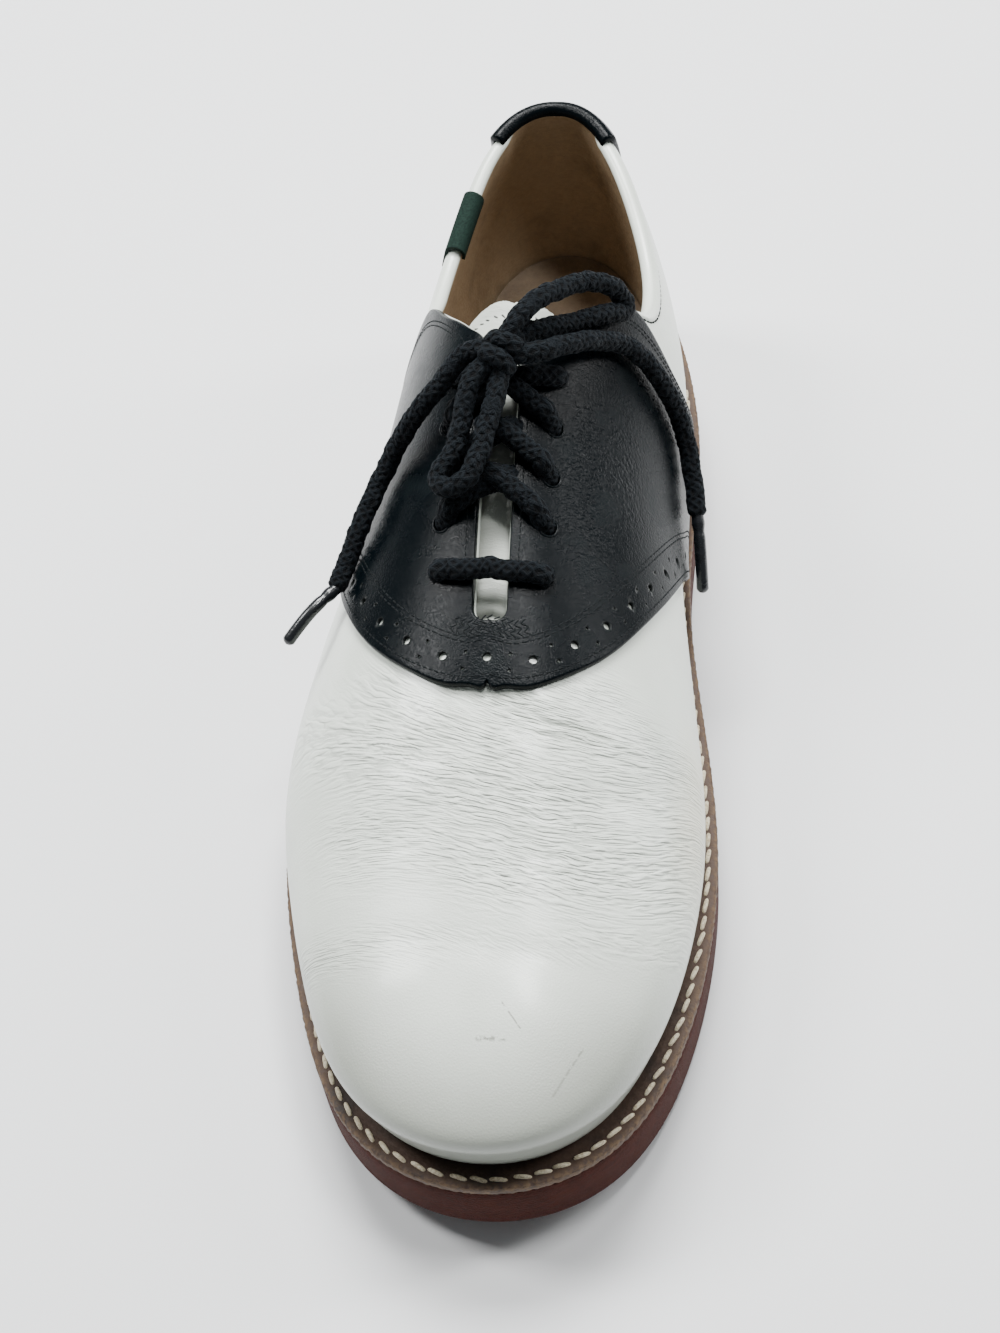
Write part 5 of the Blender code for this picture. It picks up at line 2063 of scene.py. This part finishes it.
@dataclass
class Saddle(Overlay):
    """Black saddle with punched rows, stitches, bar tacks and open eyelets."""

    hole: float = 0.0021
    small_hole: float = 0.0008
    hole_row: float = 0.0061
    hole_pitch: float = 0.0108
    seam: float = 0.0021
    inner_seam: float = 0.0108
    tack: float = 0.0128
    tack_reach: float = 0.010
    eyelet: float = 0.0044
    pair: float = 0.0021
    lip: tuple = (0.00038, 0.00022)
    thread: tuple = (0.00042, 0.0003)
    rear_thread: tuple = (0.0004, 0.0003)
    rear_seams: tuple = (0.0022, 0.0034)
    tack_rows: tuple = ((0.0, 0.7), (0.0011, -0.7), (0.0022, 0.7), (0.0033, -0.7))
    crackle: tuple = ((0.021, 0.012), (0.009, 0.022))

    def front_edge(self, count: int = 260) -> Array:
        """Whole front edge from the inner welt over the spine to the outer, (n, 3).

        Args:
            count: Points on each side.

        Returns:
            Side, phi and psi of each point.
        """
        half = self.pattern.front_line(count, False)
        inner = np.column_stack([np.ones(count), half])
        outer = np.column_stack([-np.ones(count), half])[-2::-1]
        return np.concatenate([inner, outer])

    def line_on(self, line: Array, height: float) -> tuple[Array, Array]:
        """Points and normals of a line of places, at a height over the last.

        Args:
            line: Side, phi and psi, array (n, 3).
            height: Height over the last.

        Returns:
            Points and unit normals, both arrays (n, 3).
        """
        side, phi, psi = line.T
        return (self.pattern.last.skin(side, phi, psi, height),
                self.pattern.last.normal(side, phi, psi))

    def halves(self) -> Patch:
        """The leather itself: columns ruled from the front edge to the rear and gap edge.

        Returns:
            The leather, with its flexed patch and its worn edges marked.
        """
        places, heights = [], []
        for side in (1, -1):
            rear = self.pattern.rear_line(side)
            front = self.pattern.front_line(len(rear))
            place, height = self.ruled(side, front, rear, 46)
            places.append(place)
            heights.append(height)
        whole = np.concatenate([places[0], places[1][-2::-1]])
        height = np.concatenate([heights[0], heights[1][-2::-1]])
        side, phi, psi = np.moveaxis(whole, -1, 0)
        points = self.pattern.last.point(side, phi, psi)
        x, y = points[..., 0], points[..., 1]
        marks = np.zeros((*height.shape, 3))
        place, reach = self.crackle
        crackle = np.exp(-(((x - place[0]) / reach[0]) ** 2 + ((y - place[1]) / reach[1]) ** 2))
        marks[..., Mark.FLEX.value] = np.clip(crackle, 0, 1)
        marks[..., Mark.WEAR.value] = 0.5 * (height < 0.6 * self.thick)
        return self.laid(whole, height, marks)

    def discs(self, centres: Array, radius: float, low: float, high: float,
              sides: int = 14) -> Patch:
        """Round rods through the leather at places (n, 3), closed at both ends.

        Args:
            centres: Side, phi and psi, array (n, 3).
            radius: Radius of the rods.
            low: Height of the lower end over the last.
            high: Height of the upper end.
            sides: Points round a rod.

        Returns:
            All rods.
        """
        last = self.pattern.last
        side, phi, psi = centres.T
        normal = last.normal(side, phi, psi)
        along, _ = last.slopes(side, phi, psi)
        right = unit(np.cross(normal, along))
        forward = np.cross(right, normal)
        turn = np.linspace(0, 2 * math.pi, sides + 1)
        rows = ((0.0, low), (1.0, low), (1.0, high), (0.0, high))
        shape = np.stack([np.stack([radius * size * np.cos(turn), radius * size * np.sin(turn),
                                    np.full(turn.shape, level)], -1) for size, level in rows])
        return strewn(shape, last.point(side, phi, psi), right, forward, normal)

    def punched_rows(self) -> tuple[Array, Array]:
        """Places of the large holes and of the small ones.

        Returns:
            Two arrays (n, 3) of side, phi and psi. Large holes stand at even steps from
            the middle, and each pair of small ones halfway between two of them.
        """
        line = self.pattern.last.offset_line(self.front_edge(), self.hole_row)
        rows = [self.pattern.last.offset_line(self.front_edge(), self.hole_row + shift)
                for shift in (-self.pair, self.pair)]
        side, phi, psi = line.T
        points = self.pattern.last.point(side, phi, psi)
        run = lengths(points)
        middle = run[np.argmax(line[:, 2])]
        count = int(min(middle, run[-1] - middle) / self.hole_pitch - 0.4)
        large = middle + np.arange(-count, count + 1) * self.hole_pitch
        small = large[:-1] + self.hole_pitch / 2
        big = np.stack([np.interp(large, run, column) for column in line.T], -1)
        pairs = [np.stack([np.interp(small, run, column) for column in row.T], -1)
                 for row in rows]
        for places in [big, *pairs]:
            places[:, 0] = np.where(places[:, 0] >= 0, 1, -1)
        return big, np.concatenate(pairs)

    def eyelets(self) -> Array:
        """Places of the eyelets, array (10, 3)."""
        return np.array([(side, *self.pattern.eyelet(row, side))
                         for row in range(self.pattern.eyelet_rows) for side in (1, -1)])

    def seams(self) -> Patch:
        """Stitch rows along the front edge, the rear edge and the throat.

        Returns:
            All stitches of the saddle.
        """
        last = self.pattern.last
        top = self.gap + self.thick
        rows = []
        front = self.front_edge()
        for distance, pitch in ((self.seam, 0.0017), (self.inner_seam, 0.0019),
                                (self.inner_seam + 0.0012, 0.0019)):
            line = last.offset_line(front, distance)
            rows.append(stitched(*self.line_on(line[8:-8], top), pitch, pitch * 0.78,
                                 *self.thread, seed=len(rows)))
        for side in (1, -1):
            rear = self.pattern.rear_line(side)
            edge = np.column_stack([np.full(len(rear), side), rear])
            for distance, stop in zip(self.rear_seams, (-22, 96)):
                line = last.offset_line(edge, -side * distance)[4:stop]
                rows.append(stitched(*self.line_on(line, top), 0.0016, 0.00125,
                                     *self.rear_thread, seed=9 + len(rows)))
        tack = last.offset_line(front, self.tack)
        way = self.line_on(tack, top)[0]
        near = np.abs(way[:, 0] - way[np.argmax(tack[:, 2]), 0]) < self.tack_reach
        for distance, lean in self.tack_rows:
            line = last.offset_line(tack[near], distance, 3)
            rows.append(stitched(*self.line_on(line, top), 0.0016, 0.0017, *self.thread,
                                 lean, seed=20 + len(rows)))
        return Patch.join(rows)

    def build(self, finishes: Finishes) -> None:
        """Leather with its holes cut, the white under the punched holes, dark discs of painted
        shade at the floor of the eyelets, and the stitches.

        Args:
            finishes: Every material of the shoe.
        """
        saddle = self.halves().thing("saddle_leather", [finishes.black], "black_leather", 60)
        big, small = self.punched_rows()
        eyelets = self.eyelets()
        reach = (self.gap * 0.5, self.gap + self.thick + 0.0006)
        cutter = Patch.join([self.discs(big, self.hole / 2, *reach),
                             self.discs(small, self.small_hole / 2, *reach, 8),
                             self.discs(eyelets, self.eyelet / 2, -0.0002, reach[1], 20)]
                            ).thing("punch", [finishes.black], "black_leather")
        cut = saddle.modifiers.new("holes", "BOOLEAN")
        cut.operation = "DIFFERENCE"
        cut.object = cutter
        cut.solver = "EXACT"
        bpy.context.view_layer.update()
        held = bpy.context.evaluated_depsgraph_get()
        mesh = bpy.data.meshes.new_from_object(saddle.evaluated_get(held))
        saddle.modifiers.clear()
        saddle.data = mesh
        mesh.name = "saddle_leather"
        bpy.data.objects.remove(cutter)
        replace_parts(saddle, "saddle")
        log.info("saddle: %d holes, %d faces", len(big) + len(small) + len(eyelets),
                 len(mesh.polygons))
        shows = Patch.join([self.discs(big, self.hole / 2, 0.0, self.gap + 0.0003),
                            self.discs(small, self.small_hole / 2, 0.0, self.gap + 0.0007, 8)])
        shows.thing("brogue_ground", [finishes.white], "white_leather", 30)
        # Painted shade: dark discs at the floor of the eyelets stand for the shadowed holes.
        dark = self.discs(eyelets, self.eyelet / 2 + 0.0002, 0.0, self.gap * 0.7, 20)
        dark.thing("eyelet_ground", [finishes.dark], "black_leather", 30)
        self.seams().thing("saddle_stitches", [finishes.dark], "black_leather", 60)
        self.lips(eyelets).thing("eyelet_lips", [finishes.black], "black_leather", 60)

    def lips(self, eyelets: Array) -> Patch:
        """Raised rims round the eyelets: a torus at each, of the leather's own black.

        Args:
            eyelets: Side, phi and psi, array (10, 3).

        Returns:
            The rims.
        """
        last = self.pattern.last
        side, phi, psi = eyelets.T
        normal = last.normal(side, phi, psi)
        along, _ = last.slopes(side, phi, psi)
        right = unit(np.cross(normal, along))
        turn = np.linspace(0, 2 * math.pi, 25)[:, None]
        around = np.linspace(0, 2 * math.pi, 9)[None]
        radius = self.eyelet / 2 + 0.0002 + self.lip[0] * np.cos(around)
        height = self.gap + self.thick + self.lip[1] * np.sin(around)
        shape = np.stack(np.broadcast_arrays(radius * np.cos(turn), radius * np.sin(turn),
                                             height), -1)
        return strewn(shape, last.point(side, phi, psi), right, np.cross(right, normal), normal)


@dataclass
class HeelTab(Overlay):
    """Black strip over the heel back, folded over the collar's edge."""

    rim: float = 0.0022
    fold: float = math.radians(165)
    foot: float = math.radians(-56)
    seam: float = 0.82

    def build(self, finishes: Finishes) -> None:
        """Columns from the welt to the collar and then most of the way over its rim.

        Args:
            finishes: Every material of the shoe.
        """
        pattern, last = self.pattern, self.pattern.last
        table = np.array(pattern.heel_tab)
        rear = float(last.curves["inner"](0)) + float(last.curves["outer"](0))
        columns, heights = [], []
        turns = np.sin(np.linspace(-SPINE, SPINE, 49))
        lines = {side: pattern.top_line(side) for side in (1, -1)}
        drops = 1 - np.linspace(0, 1, 60) ** 0.9
        for turn in turns:
            side = 1 if turn >= 0 else -1
            half = np.interp(drops, table[:, 0], table[:, 1]) * last.ball
            reach = abs(turn) * half / rear * 2
            top = np.interp(reach, *lines[side].T)
            psi = np.maximum(top + (last.feather - top) * drops, self.foot)
            columns.append(np.stack([np.full(60, side), reach, psi], -1))
            heights.append(self.rounded((1 - abs(turn)) * half))
        places, height = np.array(columns), np.array(heights)
        side, phi, psi = np.moveaxis(places, -1, 0)
        outer = last.skin(side, phi, psi, self.gap + height)
        normal = last.normal(side[:, -1], phi[:, -1], psi[:, -1])
        edge = last.point(side[:, -1], phi[:, -1], psi[:, -1])
        up = unit(edge - last.point(side[:, -1], phi[:, -1], psi[:, -1] - 0.02))
        turn = np.linspace(0, self.fold, 12)[1:]
        thin = 1 - 0.75 * smooth(turn, 0.3 * self.fold, self.fold)
        thick = height[:, -1][:, None, None] * thin[None, :, None]
        middle = (edge - normal * self.rim / 2)[:, None]
        ways = swung(turn, normal, up)
        over = middle + (self.rim / 2 + self.gap * 0.7 + thick) * ways
        top = np.concatenate([outer, over], 1)
        under = middle + (self.rim / 2 + self.gap * 0.5) * ways
        base = np.concatenate([last.skin(side, phi, psi, self.gap * 0.2), under], 1)
        thing = shell(top, base).thing("heel_strip", [finishes.black], "black_leather", 50)
        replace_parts(thing, "heel_tab")
        seams = []
        for turn, seed in ((self.seam, 1), (-self.seam, 2)):
            i = int(np.argmin(np.abs(turns - turn)))
            normals = last.normal(side[i], phi[i], psi[i])
            seams.append(stitched(outer[i, 6:-2], normals[6:-2], 0.0017, 0.0013, 0.0004,
                                  0.0003, seed=seed))
        Patch.join(seams).thing("heel_stitches", [finishes.dark], "black_leather", 60)


@dataclass
class Throat:
    """Tongue under the facings, and the white fold that closes the throat's end."""

    pattern: Pattern
    width: float = 0.042
    thick: float = 0.003
    top: float = 0.338
    end: float = 0.655
    bow: float = 0.017
    under: float = 0.0038
    fold: float = 0.6035
    fold_size: tuple = (0.0022, 0.0011)
    seam: float = 0.0115
    seam_size: tuple = (0.0015, 0.0003)
    facing: float = 0.0045

    def build(self, finishes: Finishes) -> None:
        """Tongue with a ragged top edge, an overcast row, and a fold near its lower end.

        Args:
            finishes: Every material of the shoe.
        """
        last = self.pattern.last
        station = np.linspace(self.end, self.top, 120)[:, None]
        turn = np.linspace(1, -1, 65)[None]
        near = np.clip(1 - (station - self.top) / (0.3 * self.width / last.length), 0, None)
        half = self.width / 2 * (1 - 0.22 * near ** 2)
        ragged = 0.0005 * ripple((turn + 2) * 0.02, 5, 24, 0.0022) * near ** 6
        bowed = station + self.bow * turn ** 2 * np.minimum(1.0, near * 2) + ragged
        side = np.where(turn >= 0, 1.0, -1.0) * np.ones_like(bowed)
        phi, psi = last.across(side, bowed, np.abs(turn) * half)
        width, depth = self.fold_size
        fold = -depth * np.exp(-((station - self.fold) / width) ** 2)
        width, depth = self.seam_size
        seam = -depth * np.exp(-((station - self.top - self.seam) / width) ** 2)
        height = -self.under + fold + seam
        outer = last.skin(side, phi, psi, height)
        inner = last.skin(side, phi, psi, -self.under - self.thick)
        marks = np.zeros((*outer.shape[:2], 3))
        marks[..., Mark.FLEX.value] = 0.1
        # Painted shade: the tongue darkens at its fold and towards the facings' edges, from a
        # little below the knot to the throat's end.
        shaded = 0.10 + 0.30 * np.clip(np.abs(turn) * half / self.facing, 0, 1) ** 2
        marks[..., Mark.WEAR.value] = np.maximum(
            np.exp(-((station - self.fold) / 0.003) ** 2), shaded * smooth(station, 0.40, 0.45))
        uv = np.stack([turn * half, bowed * last.length], -1)
        patch = shell(outer, inner, uv, marks)
        thing = patch.thing("tongue_leather", [finishes.tongue], "tongue_leather", 60)
        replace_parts(thing, "tongue")
        row = 6
        line = outer[-row]
        normals = last.normal(side[-row], phi[-row], psi[-row])
        stitched(line[6:-6], normals[6:-6], 0.0021, 0.0015, 0.0005, 0.0004, lean=0.6,
                 seed=3).thing("tongue_stitches", [finishes.grey], "tongue_leather", 60)


@dataclass
class CollarTag:
    """Plain green tape folded over the collar on the outer side."""

    pattern: Pattern
    station: float = 0.138
    width: float = 0.019
    drop: float = 0.007
    thick: float = 0.0006
    wall: float = 0.0037
    lining_drop: float = 0.0012
    proud: float = 0.0005
    close: float = 0.0002

    def build(self, finishes: Finishes) -> None:
        """Tape: up the outer face, half a circle over the rim, a little way down inside.

        Args:
            finishes: Every material of the shoe.
        """
        last = self.pattern.last
        middle = float(last.phi_at(self.station))
        reach = self.width / 2 / (last.length * math.sin(middle) / 2)
        phi = np.linspace(middle - reach, middle + reach, 22)
        line = self.pattern.top_line(-1)
        rim = np.interp(phi, *line.T)
        side = np.full(phi.shape, -1.0)
        edge = last.point(side, phi, rim)
        normal = last.normal(side, phi, rim)
        up = unit(edge - last.point(side, phi, rim - 0.02))
        middle_line = edge - normal * self.wall / 2
        turn = np.linspace(0, math.pi, 13)
        down = np.linspace(1, 0, 8)[:-1]
        rows = {}
        fall = np.linalg.norm(last.slopes(side, phi, rim)[1], axis=-1)
        level = rim[:, None] - down * self.drop / fall[:, None]
        for name, size in (("top", self.wall / 2 + self.proud + self.thick),
                           ("base", self.wall / 2 + self.close)):
            arc = middle_line[:, None] + size * swung(turn, normal, up)
            outer_fall = last.skin(-1.0, phi[:, None], level, size - self.wall / 2)
            inner_fall = arc[:, -1:] - up[:, None] * (down[::-1] * self.lining_drop)[None, :, None]
            rows[name] = np.concatenate([outer_fall, arc, inner_fall], 1)
        patch = shell(rows["top"], rows["base"])
        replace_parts(patch.thing("green_tab", [finishes.green], "green_tape", 50), "collar_tag")


@dataclass
class Lacing:
    """Laces over the throat: the two straight bars and the three crossings."""

    pattern: Pattern
    diameter: float = 0.0052
    rest: float = 0.0005 + 0.0014 + 0.0026
    rise: float = 0.75
    droop: float = 0.0024
    start: float = 0.0002
    past: float = 0.0025
    sunk: float = 0.0042
    crossing: float = 0.004
    lifts: tuple = (0.0006, -0.0022)
    bar_start: float = 0.0012
    bar_sag: float = 0.0008

    def strand(self, side: int, row: int, over: float) -> Array:
        """Middle line of a strand from an eyelet over the gap and under the far facing.

        Args:
            side: Side of the eyelet.
            row: Its row.
            over: How much higher it lies at the crossing.

        Returns:
            Array (n, 3): it climbs out of the hole, runs slantwise back over the gap,
            bows by over at the crossing and sinks below the far edge.
        """
        last, pattern = self.pattern.last, self.pattern
        start = pattern.eyelet_first - pattern.eyelet_pitch / last.length * row
        share = np.linspace(0, 1, 40)
        far = pattern.lace_gap / 2 + self.past
        distance = pattern.eyelet_offset + (-far - pattern.eyelet_offset) * share
        slope = self.rise * pattern.eyelet_pitch / (pattern.eyelet_offset + 0.0012)
        station = start - slope * (pattern.eyelet_offset - distance) / last.length
        climb = smooth(share, -0.02, 0.20)
        sink = smooth(share, 0.72, 1.0)
        height = self.start + (self.rest - self.start) * climb
        height = height * (1 - sink) - self.sunk * sink
        height = height + over * np.exp(-(distance / self.crossing) ** 2)
        near = np.where(distance >= 0, side, -side).astype(float)
        phi, psi = last.across(near, station, np.abs(distance))
        return last.skin(near, phi, psi, height)

    def bar(self, row: int) -> Array:
        """Middle line of a straight bar, out of one eyelet and into the other.

        Args:
            row: Row of the eyelet, 0 nearest the toe.

        Returns:
            Array (60, 3): it rises from one hole, bows towards the toe and sinks into
            the other.
        """
        last, pattern = self.pattern.last, self.pattern
        across = np.linspace(1, -1, 60)
        station = pattern.eyelet_first - pattern.eyelet_pitch / last.length * row
        station = station + self.droop / last.length * (1 - across ** 2)
        distance = pattern.eyelet_offset * np.abs(across)
        sag = self.bar_sag * np.exp(-(across / 0.4) ** 2)
        climb = smooth(1 - np.abs(across), -0.10, 0.16)
        height = self.bar_start + (self.rest - 0.0016) * climb - sag
        side = np.where(across >= 0, 1.0, -1.0)
        phi, psi = last.across(side, station, distance)
        return last.skin(side, phi, psi, height)

    def build_bars(self, finishes: Finishes) -> None:
        """Both straight bars and the three crossings.

        Args:
            finishes: Every material of the shoe.
        """
        radius = self.diameter / 2
        for name, row in (("lace_bar", 0), ("lace_top", self.pattern.eyelet_rows - 1)):
            patch = laced(self.bar(row), radius, 31 + row)
            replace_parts(patch.thing(f"{name}_braid", [finishes.lace], "black_cotton", 80), name)
        for row in (1, 2, 3):
            inner = laced(self.strand(1, row, self.lifts[0]), radius, 41 + row)
            outer = laced(self.strand(-1, row, self.lifts[1]), radius, 51 + row)
            patch = Patch.join([inner, outer])
            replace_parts(patch.thing(f"crossing_{row}_braid", [finishes.lace], "black_cotton",
                                    80), f"lace_cross_{row}")


KNOT = ((-0.0052, 0.0195, 0.1085), (-0.0017, 0.0235, 0.1100), (0.0020, 0.0280, 0.1110))
ROUTES = {
    "loop_upper": (
        (0.0040, 0.0330, 0.1160), (0.0066, 0.0374, 0.1157), (0.0104, 0.0434, 0.1130),
        (0.0148, 0.0503, 0.1095), (0.0204, 0.0550, 0.1050), (0.0244, 0.0571, 0.0990),
        (0.0252, 0.0565, 0.0958), (0.0222, 0.0508, 0.0990), (0.0150, 0.0435, 0.1027),
        (0.0094, 0.0371, 0.1068), (0.0066, 0.0340, 0.1086),
    ),
    "loop_lower": (
        (-0.0088, 0.0128, 0.1063), (-0.0100, 0.0060, 0.1015), (-0.0122, -0.0007, 0.0980),
        (-0.0144, -0.0042, 0.0962), (-0.0132, -0.0070, 0.0955), (-0.0091, -0.0078, 0.0968),
        (-0.0056, -0.0041, 0.0992), (-0.0036, 0.0046, 0.1022), (-0.0021, 0.0120, 0.1052),
    ),
    "end_outer": (
        (-0.0123, 0.0228, 0.1080), (-0.0172, 0.0190, 0.1028), (-0.0224, 0.0162, 0.0970),
        (-0.0326, 0.0108, 0.0800), (-0.0376, -0.0008, 0.0732), (-0.0404, -0.0085, 0.0680),
        (-0.0422, -0.0147, 0.0660),
    ),
    "end_inner": (
        (0.0094, 0.0262, 0.1092), (0.0138, 0.0312, 0.1066), (0.0200, 0.0398, 0.0998),
        (0.0273, 0.0474, 0.0902), (0.0351, 0.0472, 0.0777), (0.0400, 0.0443, 0.0652),
        (0.0428, 0.0373, 0.0560), (0.0446, 0.0285, 0.0500),
    ),
}
TIPS = {
    "tip_outer": ((-0.0424, -0.0156, 0.0659), (-0.0472, -0.0225, 0.0655),
                  (-0.0527, -0.0292, 0.0615)),
    "tip_inner": ((0.0447, 0.0281, 0.0497), (0.0460, 0.0200, 0.0430), (0.0468, 0.0140, 0.0360)),
}


@dataclass
class Bow:
    """Free parts of the lace: knot, two loops and two ends."""

    diameter: float = 0.005
    tip_diameter: float = 0.0032

    def knot(self, finishes: Finishes) -> bpy.types.Object:
        """Knot: two turns of lace wound round the strands that pass through it.

        Args:
            finishes: Every material of the shoe.

        Returns:
            The knot's object.
        """
        core = through(np.array(KNOT), 24)
        axis = unit(core[-1] - core[0])
        up = unit(np.array([0.0, 0.0, 1.0]) - axis * axis[2])
        side = np.cross(axis, up)
        middle = core.mean(0)
        parts = [laced(core + up * 0.0004, 0.0030, 61),
                 laced(core - up * 0.0020 + side * 0.0012, 0.0026, 62)]
        angle = np.linspace(-0.3, 2.35 * math.pi, 90)
        lean = np.linspace(-0.0031, 0.0031, 90)
        wound = (middle + axis * lean[:, None]
                 + 0.0036 * (np.cos(angle)[:, None] * up * 0.9 + np.sin(angle)[:, None] * side))
        parts.append(laced(wound, 0.0025, 63))
        parts += self.roots(middle)
        thing = Patch.join(parts).thing("knot_braid", [finishes.lace], "black_cotton", 80)
        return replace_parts(thing, "knot")

    def roots(self, middle: Array) -> list[Patch]:
        """Short strands from inside the knot to where each loop and end leaves it.

        Args:
            middle: Middle of the knot.

        Returns:
            One patch for each strand.
        """
        parts = []
        for name, route in ROUTES.items():
            path = through(np.array(route), 70)
            leaving = [(path[0], path[0] - path[3])]
            if name.startswith("loop"):
                leaving.append((path[-1], path[-1] - path[-4]))
            for point, way in leaving:
                way = unit(way)
                bend = np.array([point - way * 0.003, point + way * 0.001,
                                 0.5 * (middle + point + way * 0.005), middle])
                parts.append(laced(through(bend, 40), self.diameter * 0.505, 64))
        return parts

    def cord(self, name: str, finishes: Finishes) -> bpy.types.Object:
        """One loop or end as a tube on the part's own route.

        Args:
            name: Name of the node and of its route.
            finishes: Every material of the shoe.

        Returns:
            The cord's object.
        """
        path = through(np.array(ROUTES[name]), 70)
        patch = laced(path, self.diameter / 2, 71 + len(name))
        thing = patch.thing(f"{name}_braid", [finishes.lace], "black_cotton", 80)
        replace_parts(thing, name)
        return thing

    def tip(self, name: str, finishes: Finishes) -> bpy.types.Object:
        """Lace tip: a thin hard sleeve, crimped where it holds the lace.

        Args:
            name: Name of the node and of its route.
            finishes: Every material of the shoe.

        Returns:
            The tip's object.
        """
        path = through(np.array(TIPS[name]), 30)
        share = np.linspace(0, 1, 30)
        radius = self.tip_diameter / 2 * (1 + 0.10 * np.exp(-((share - 0.12) / 0.05) ** 2)
                                          - 0.12 * np.exp(-((share - 0.24) / 0.04) ** 2))
        patch = tube(path, radius, 16)
        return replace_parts(patch.thing(f"{name}_sleeve", [finishes.tip], "lace_tip", 50), name)

    def build(self, finishes: Finishes) -> None:
        """Knot, loops, ends and tips.

        Args:
            finishes: Every material of the shoe.
        """
        knot = self.knot(finishes)
        self.cord("loop_upper", finishes)
        self.cord("loop_lower", finishes)
        for name in ("outer", "inner"):
            tip = self.tip(f"tip_{name}", finishes)
            self.cord(f"end_{name}", finishes)


@dataclass
class Studio:
    """Plain pale floor, soft lights and the camera at the photograph's angle."""

    azimuth: float = math.radians(3.78)
    elevation: float = math.radians(53.35)
    roll: float = math.radians(-0.39)
    distance: float = 0.5078
    axis_point: tuple = (0.0579, -0.0389, 0.050)
    aim: tuple = (-0.1119, 0.0257)
    focal: float = 56.2
    paper: Color = (0.74, 0.75, 0.755, 1.0)
    sky: Color = (0.93, 0.97, 1.0, 1.0)
    sky_strength: float = 0.20
    centre: tuple = (0.0, 0.0, 0.05)
    lamps: tuple = (
        ("overhead", (-0.10, 0.62, 1.25), (0.7, 0.45), 44),
        ("toe", (0.26, 0.12, 1.20), (0.20, 0.16), 7),
        ("left", (-0.74, 0.12, 1.00), (0.25, 0.4), 13),
        ("right", (1.0, 0.38, 0.72), (0.20, 0.9), 10),
    )

    def camera(self) -> None:
        """Camera at the fitted place, turned from the fitted axis onto the one shoe."""
        ca, sa = math.cos(self.azimuth), math.sin(self.azimuth)
        ce, se = math.cos(self.elevation), math.sin(self.elevation)
        back = Vector((sa * ce, -ca * ce, se))
        right = Vector((ca, sa, 0.0))
        up = back.cross(right)
        place = Vector(self.axis_point) + back * self.distance
        right, up = (right * math.cos(self.roll) + up * math.sin(self.roll),
                     up * math.cos(self.roll) - right * math.sin(self.roll))
        look = (right * self.aim[0] + up * self.aim[1] - back).normalized()
        back = -look
        right = up.cross(back).normalized()
        up = back.cross(right)
        data = bpy.data.cameras.new("camera")
        data.lens = self.focal
        data.sensor_width = 36.0
        data.clip_start = 0.01
        thing = bpy.data.objects.new("camera", data)
        bpy.context.scene.collection.objects.link(thing)
        turn = Matrix((right, up, back)).transposed().to_4x4()
        thing.matrix_world = Matrix.Translation(place) @ turn
        bpy.context.scene.camera = thing

    def lamp(self, name: str, place: tuple, size: tuple, power: float) -> None:
        """One soft rectangular light, turned to the centre.

        Args:
            name: Name of the light.
            place: Where it stands.
            size: Its width and height in metres.
            power: Its power in watts.
        """
        data = bpy.data.lights.new(name, "AREA")
        data.shape = "RECTANGLE"
        data.size, data.size_y = size
        data.energy = power
        thing = bpy.data.objects.new(name, data)
        thing.location = place
        way = Vector(self.centre) - Vector(place)
        thing.rotation_euler = way.to_track_quat("-Z", "Y").to_euler()
        bpy.context.scene.collection.objects.link(thing)

    def build(self) -> None:
        """Floor, world, lights and camera."""
        mesh = bpy.data.meshes.new("floor")
        shape = bmesh.new()
        bmesh.ops.create_grid(shape, x_segments=1, y_segments=1, size=4.0)
        bmesh.ops.translate(shape, verts=shape.verts, vec=(0, 0, -0.0002))
        shape.to_mesh(mesh)
        shape.free()
        floor = bpy.data.objects.new("floor", mesh)
        bpy.context.scene.collection.objects.link(floor)
        material, _, shader = start_material("floor_paper")
        shader.inputs["Base Color"].default_value = self.paper
        shader.inputs["Roughness"].default_value = 0.9
        mesh.materials.append(material)
        world = bpy.data.worlds.new("studio")
        world.use_nodes = True
        background = world.node_tree.nodes["Background"]
        background.inputs["Color"].default_value = self.sky
        background.inputs["Strength"].default_value = self.sky_strength
        bpy.context.scene.world = world
        for row in self.lamps:
            self.lamp(*row)
        self.camera()


def main() -> None:
    """Build every sub-assembly in order."""
    logging.basicConfig(level=logging.INFO, format="%(name)s %(message)s")
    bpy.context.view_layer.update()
    Studio().build()
    finishes = Finishes()
    pattern = Pattern(Last())
    Bow().build(finishes)
    Lacing(pattern).build_bars(finishes)
    Bottom(pattern.last).build(finishes)
    UpperLeather(pattern).build(finishes)
    Saddle(pattern).build(finishes)
    HeelTab(pattern).build(finishes)
    Throat(pattern).build(finishes)
    CollarTag(pattern).build(finishes)


if __name__ == "__main__":
    main()
